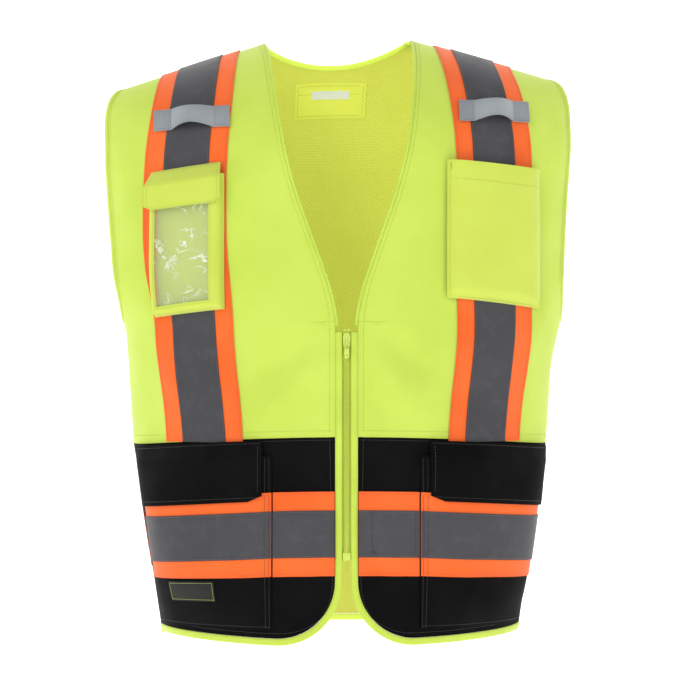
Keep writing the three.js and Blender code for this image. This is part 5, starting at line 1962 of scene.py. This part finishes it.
@dataclass
class FrontZip:
    """Separating zip: tapes, coils, stops, slider and pull."""

    coil_gap: float = 0.7
    coil_width: float = 2.6
    pitch: float = 1.55

    def tape(self, side: Side) -> Sheet:
        """Woven tape beside one coil, as a sheet on the front plane."""
        s = side.value
        inner, outer = self.coil_gap + 1.1, CUT.front_edge + 5
        low, high = CUT.zip_bottom - 10, CUT.zip_top
        node_low, node_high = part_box(f"{side.word}_zip_tape")
        back, face = node_high.y / MM, node_low.y / MM

        def at(u: Grid, v: Grid) -> Spot:
            """Angle and way from shares across and up."""
            return TORSO.front_spot(s * lerp(inner, outer, u), lerp(low, high, v))

        def offset(plane: float) -> Offset:
            """Offset that brings the cloth to a flat plane."""

            def of(u: Grid, v: Grid) -> Grid:
                """Distance from the torso to the plane, along the normal."""
                angle, way = at(u, v)
                gap = TORSO.point(angle, way)[..., 1] - plane
                return gap / np.abs(TORSO.normal(angle, way)[..., 1]) - TORSO.relief(angle, way)

            return of

        return Sheet(
            f"{side.word}_zip_tape", at, np.linspace(0, 1, 9), np.linspace(0, 1, 60), offset(back), offset(face)
        )

    def coil(self, side: Side, shop: Workshop) -> None:
        """Nylon coil: one thread wound round its cord, flat behind and raised in front."""
        node = f"{side.word}_zip_coil"
        low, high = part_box(node)
        x0, x1 = low.x / MM + 0.35, high.x / MM - 0.35
        y0, y1 = low.y / MM + 0.35, high.y / MM - 0.35
        z0, z1 = low.z / MM + 0.4, high.z / MM - 0.4
        turns, around, ring = int((z1 - z0) / self.pitch), 10, 6
        t = np.arange(turns * around + 1) / around
        turn = 2 * math.pi * t * side.value
        square = lambda a: np.sign(a) * np.abs(a) ** 0.7
        line = np.stack(
            [
                (x0 + x1) / 2 + (x1 - x0) / 2 * square(np.cos(turn)),
                (y0 + y1) / 2 + (y1 - y0) / 2 * square(np.sin(turn)),
                z0 + (z1 - z0) * t / turns,
            ],
            axis=1,
        )
        forward = np.gradient(line, axis=0)
        forward /= np.linalg.norm(forward, axis=1, keepdims=True)
        aside = np.cross(forward, np.array([0.0, 0.0, 1.0]))
        aside /= np.linalg.norm(aside, axis=1, keepdims=True)
        up = np.cross(aside, forward)
        spin = np.arange(ring) * 2 * math.pi / ring
        points = line[:, None] + 0.33 * (
            aside[:, None] * np.cos(spin)[None, :, None] + up[:, None] * np.sin(spin)[None, :, None]
        )
        k, c = np.meshgrid(np.arange(len(line) - 1), np.arange(ring), indexing="ij")
        a, b = k * ring + c, k * ring + (c + 1) % ring
        faces = np.stack([a, b, b + ring, a + ring], -1).reshape(-1, 4).tolist()
        last = (len(line) - 1) * ring
        faces += [list(range(ring))[::-1], [last + n for n in range(ring)]]
        piece = mesh_object("nylon_" + node, points.reshape(-1, 3), faces)
        shop.dress(piece, Slot.ZIP, "vest")
        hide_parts(node)

    def build(self, shop: Workshop) -> None:
        """Makes every zip piece."""
        for side in Side:
            tape = self.tape(side)
            shop.sheet(tape, Slot.ZIP_TAPE, [f"cloth_{side.word}_front_panel"])
            self.coil(side, shop)
            shop.hard(f"{side.word}_top_stop", "vest", 0.3)
        shop.hard("zip_insertion_pin", "vest", 0.3)
        shop.hard("zip_retainer_box", "vest", 0.4)
        shop.hard("zip_slider", "zip_slider", 0.3)
        shop.hard("zip_pull", "zip_pull", 0.25)


@dataclass
class SideLabel:
    """Plain sewn badge on the right cargo pouch."""

    start: float = 0.34
    end: float = 0.70

    def build(self, shop: Workshop, pocket: CargoPocket) -> None:
        """Makes the badge with a sewn border."""
        badge = pocket.layer(
            "side_label", -609.4, -586.4, CUT.pouch_face + 1.5 * CUT.gap, 0.6, self.start, self.end
        )
        badge.us, badge.vs = np.linspace(0, 1, 24), np.linspace(0, 1, 10)
        shop.sheet(badge, Slot.BADGE, ["cloth_right_cargo_pouch"])
        lime = shop.thread("lime")
        along = np.linspace(0.03, 0.97, 60)
        for u, v in ((0.03, along), (0.97, along), (along, 0.08), (along, 0.92)):
            lime.sew(badge.line(u, v, 0.02), pitch=1.6)


@dataclass
class Studio:
    """Camera, plain pale backdrop and soft lights."""

    lens: float = 122.0
    distance: float = 2.526
    azimuth: float = -3.0
    target: tuple[float, float, float] = (0.0037, -0.135, -0.342)

    def camera(self) -> None:
        """Sets the camera square on to the front, a little to the wearer's right."""
        data = bpy.data.cameras.new("camera")
        data.lens = self.lens
        data.sensor_width = 36
        data.clip_end = 50
        turn = math.radians(self.azimuth)
        made = bpy.data.objects.new("camera", data)
        bpy.context.scene.collection.objects.link(made)
        back = Vector((math.sin(turn), -math.cos(turn), 0))
        made.location = Vector(self.target) + back * self.distance
        made.rotation_mode = "QUATERNION"
        made.rotation_quaternion = (-back).to_track_quat("-Z", "Y")
        bpy.context.scene.camera = made

    def light(
        self, name: str, place: tuple[float, float, float], aim: tuple[float, float, float], size: float, power: float
    ) -> None:
        """Adds a square soft light aimed at a point."""
        data = bpy.data.lights.new(name, "AREA")
        data.size = size
        data.energy = power
        made = bpy.data.objects.new(name, data)
        bpy.context.scene.collection.objects.link(made)
        made.location = place
        made.rotation_mode = "QUATERNION"
        made.rotation_quaternion = (Vector(aim) - Vector(place)).to_track_quat("-Z", "Y")

    def sheet(self, name: str, corners: Sequence[tuple[float, float, float]], glow: float) -> None:
        """Adds one flat pale surface, seen from its front only."""
        mesh = bpy.data.meshes.new(name)
        mesh.from_pydata(list(corners), [], [(0, 1, 2, 3)])
        made = bpy.data.objects.new(name, mesh)
        bpy.context.scene.collection.objects.link(made)
        made.data.materials.append(self._paper(name, glow))

    @staticmethod
    def _paper(name: str, glow: float) -> bpy.types.Material:
        """Matt white paper, clear from behind."""
        made = bpy.data.materials.new(name)
        made.use_nodes = True
        tree = made.node_tree
        desk = NodeDesk(tree)
        shader = tree.nodes["Principled BSDF"]
        shader.inputs["Base Color"].default_value = (0.9, 0.9, 0.9, 1)
        shader.inputs["Roughness"].default_value = 0.95
        shader.inputs["Emission Color"].default_value = (1, 1, 1, 1)
        shader.inputs["Emission Strength"].default_value = glow
        shader.inputs["Specular IOR Level"].default_value = 0.0
        clear = tree.nodes.new("ShaderNodeBsdfTransparent")
        choice = tree.nodes.new("ShaderNodeMixShader")
        facing = tree.nodes.new("ShaderNodeNewGeometry")
        desk.feed(choice.inputs[0], facing.outputs["Backfacing"])
        desk.feed(choice.inputs[1], shader.outputs[0])
        desk.feed(choice.inputs[2], clear.outputs[0])
        desk.feed(tree.nodes["Material Output"].inputs["Surface"], choice.outputs[0])
        return made

    def build(self) -> None:
        """Sets the stage."""
        self.camera()
        self.sheet("backdrop", [(-4, 0.2, -1.3), (4, 0.2, -1.3), (4, 0.2, 3), (-4, 0.2, 3)], 0.72)
        self.sheet("floor", [(-4, -4, -1.3), (4, -4, -1.3), (4, 0.2, -1.3), (-4, 0.2, -1.3)], 0.5)
        self.light("key", (-1.5, -2.6, 1.3), (0, 0, -0.3), 1.6, 34)
        self.light("fill", (2.2, -2.4, 0.2), (0, 0, -0.35), 2.2, 16)
        self.light("front", (0, -3.4, -0.6), (0, 0, -0.4), 2.4, 15)
        world = bpy.data.worlds.new("studio")
        world.use_nodes = True
        world.node_tree.nodes["Background"].inputs["Color"].default_value = (1, 1, 1, 1)
        world.node_tree.nodes["Background"].inputs["Strength"].default_value = 0.38
        bpy.context.scene.world = world
        bpy.context.scene.view_settings.view_transform = "Standard"


def main() -> None:
    """Builds the vest and its stage."""
    logging.basicConfig(level=logging.INFO, format="%(name)s: %(message)s")
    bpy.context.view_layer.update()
    Studio().build()
    shop = Workshop(Wardrobe())
    for side in Side:
        LOG.info("%s half", side.word)
        FrontHalf(side).build(shop)
        Braces(side).build(shop)
        WaistBand(side).build(shop)
    Back().build(shop)
    pockets = {side: CargoPocket(side) for side in Side}
    for pocket in pockets.values():
        pocket.build(shop)
    SideLabel().build(shop, pockets[Side.RIGHT])
    ChestPocket().build(shop)
    IdPocket().build(shop)
    FrontZip().build(shop)
    shop.finish_threads()


if __name__ == "__main__":
    main()
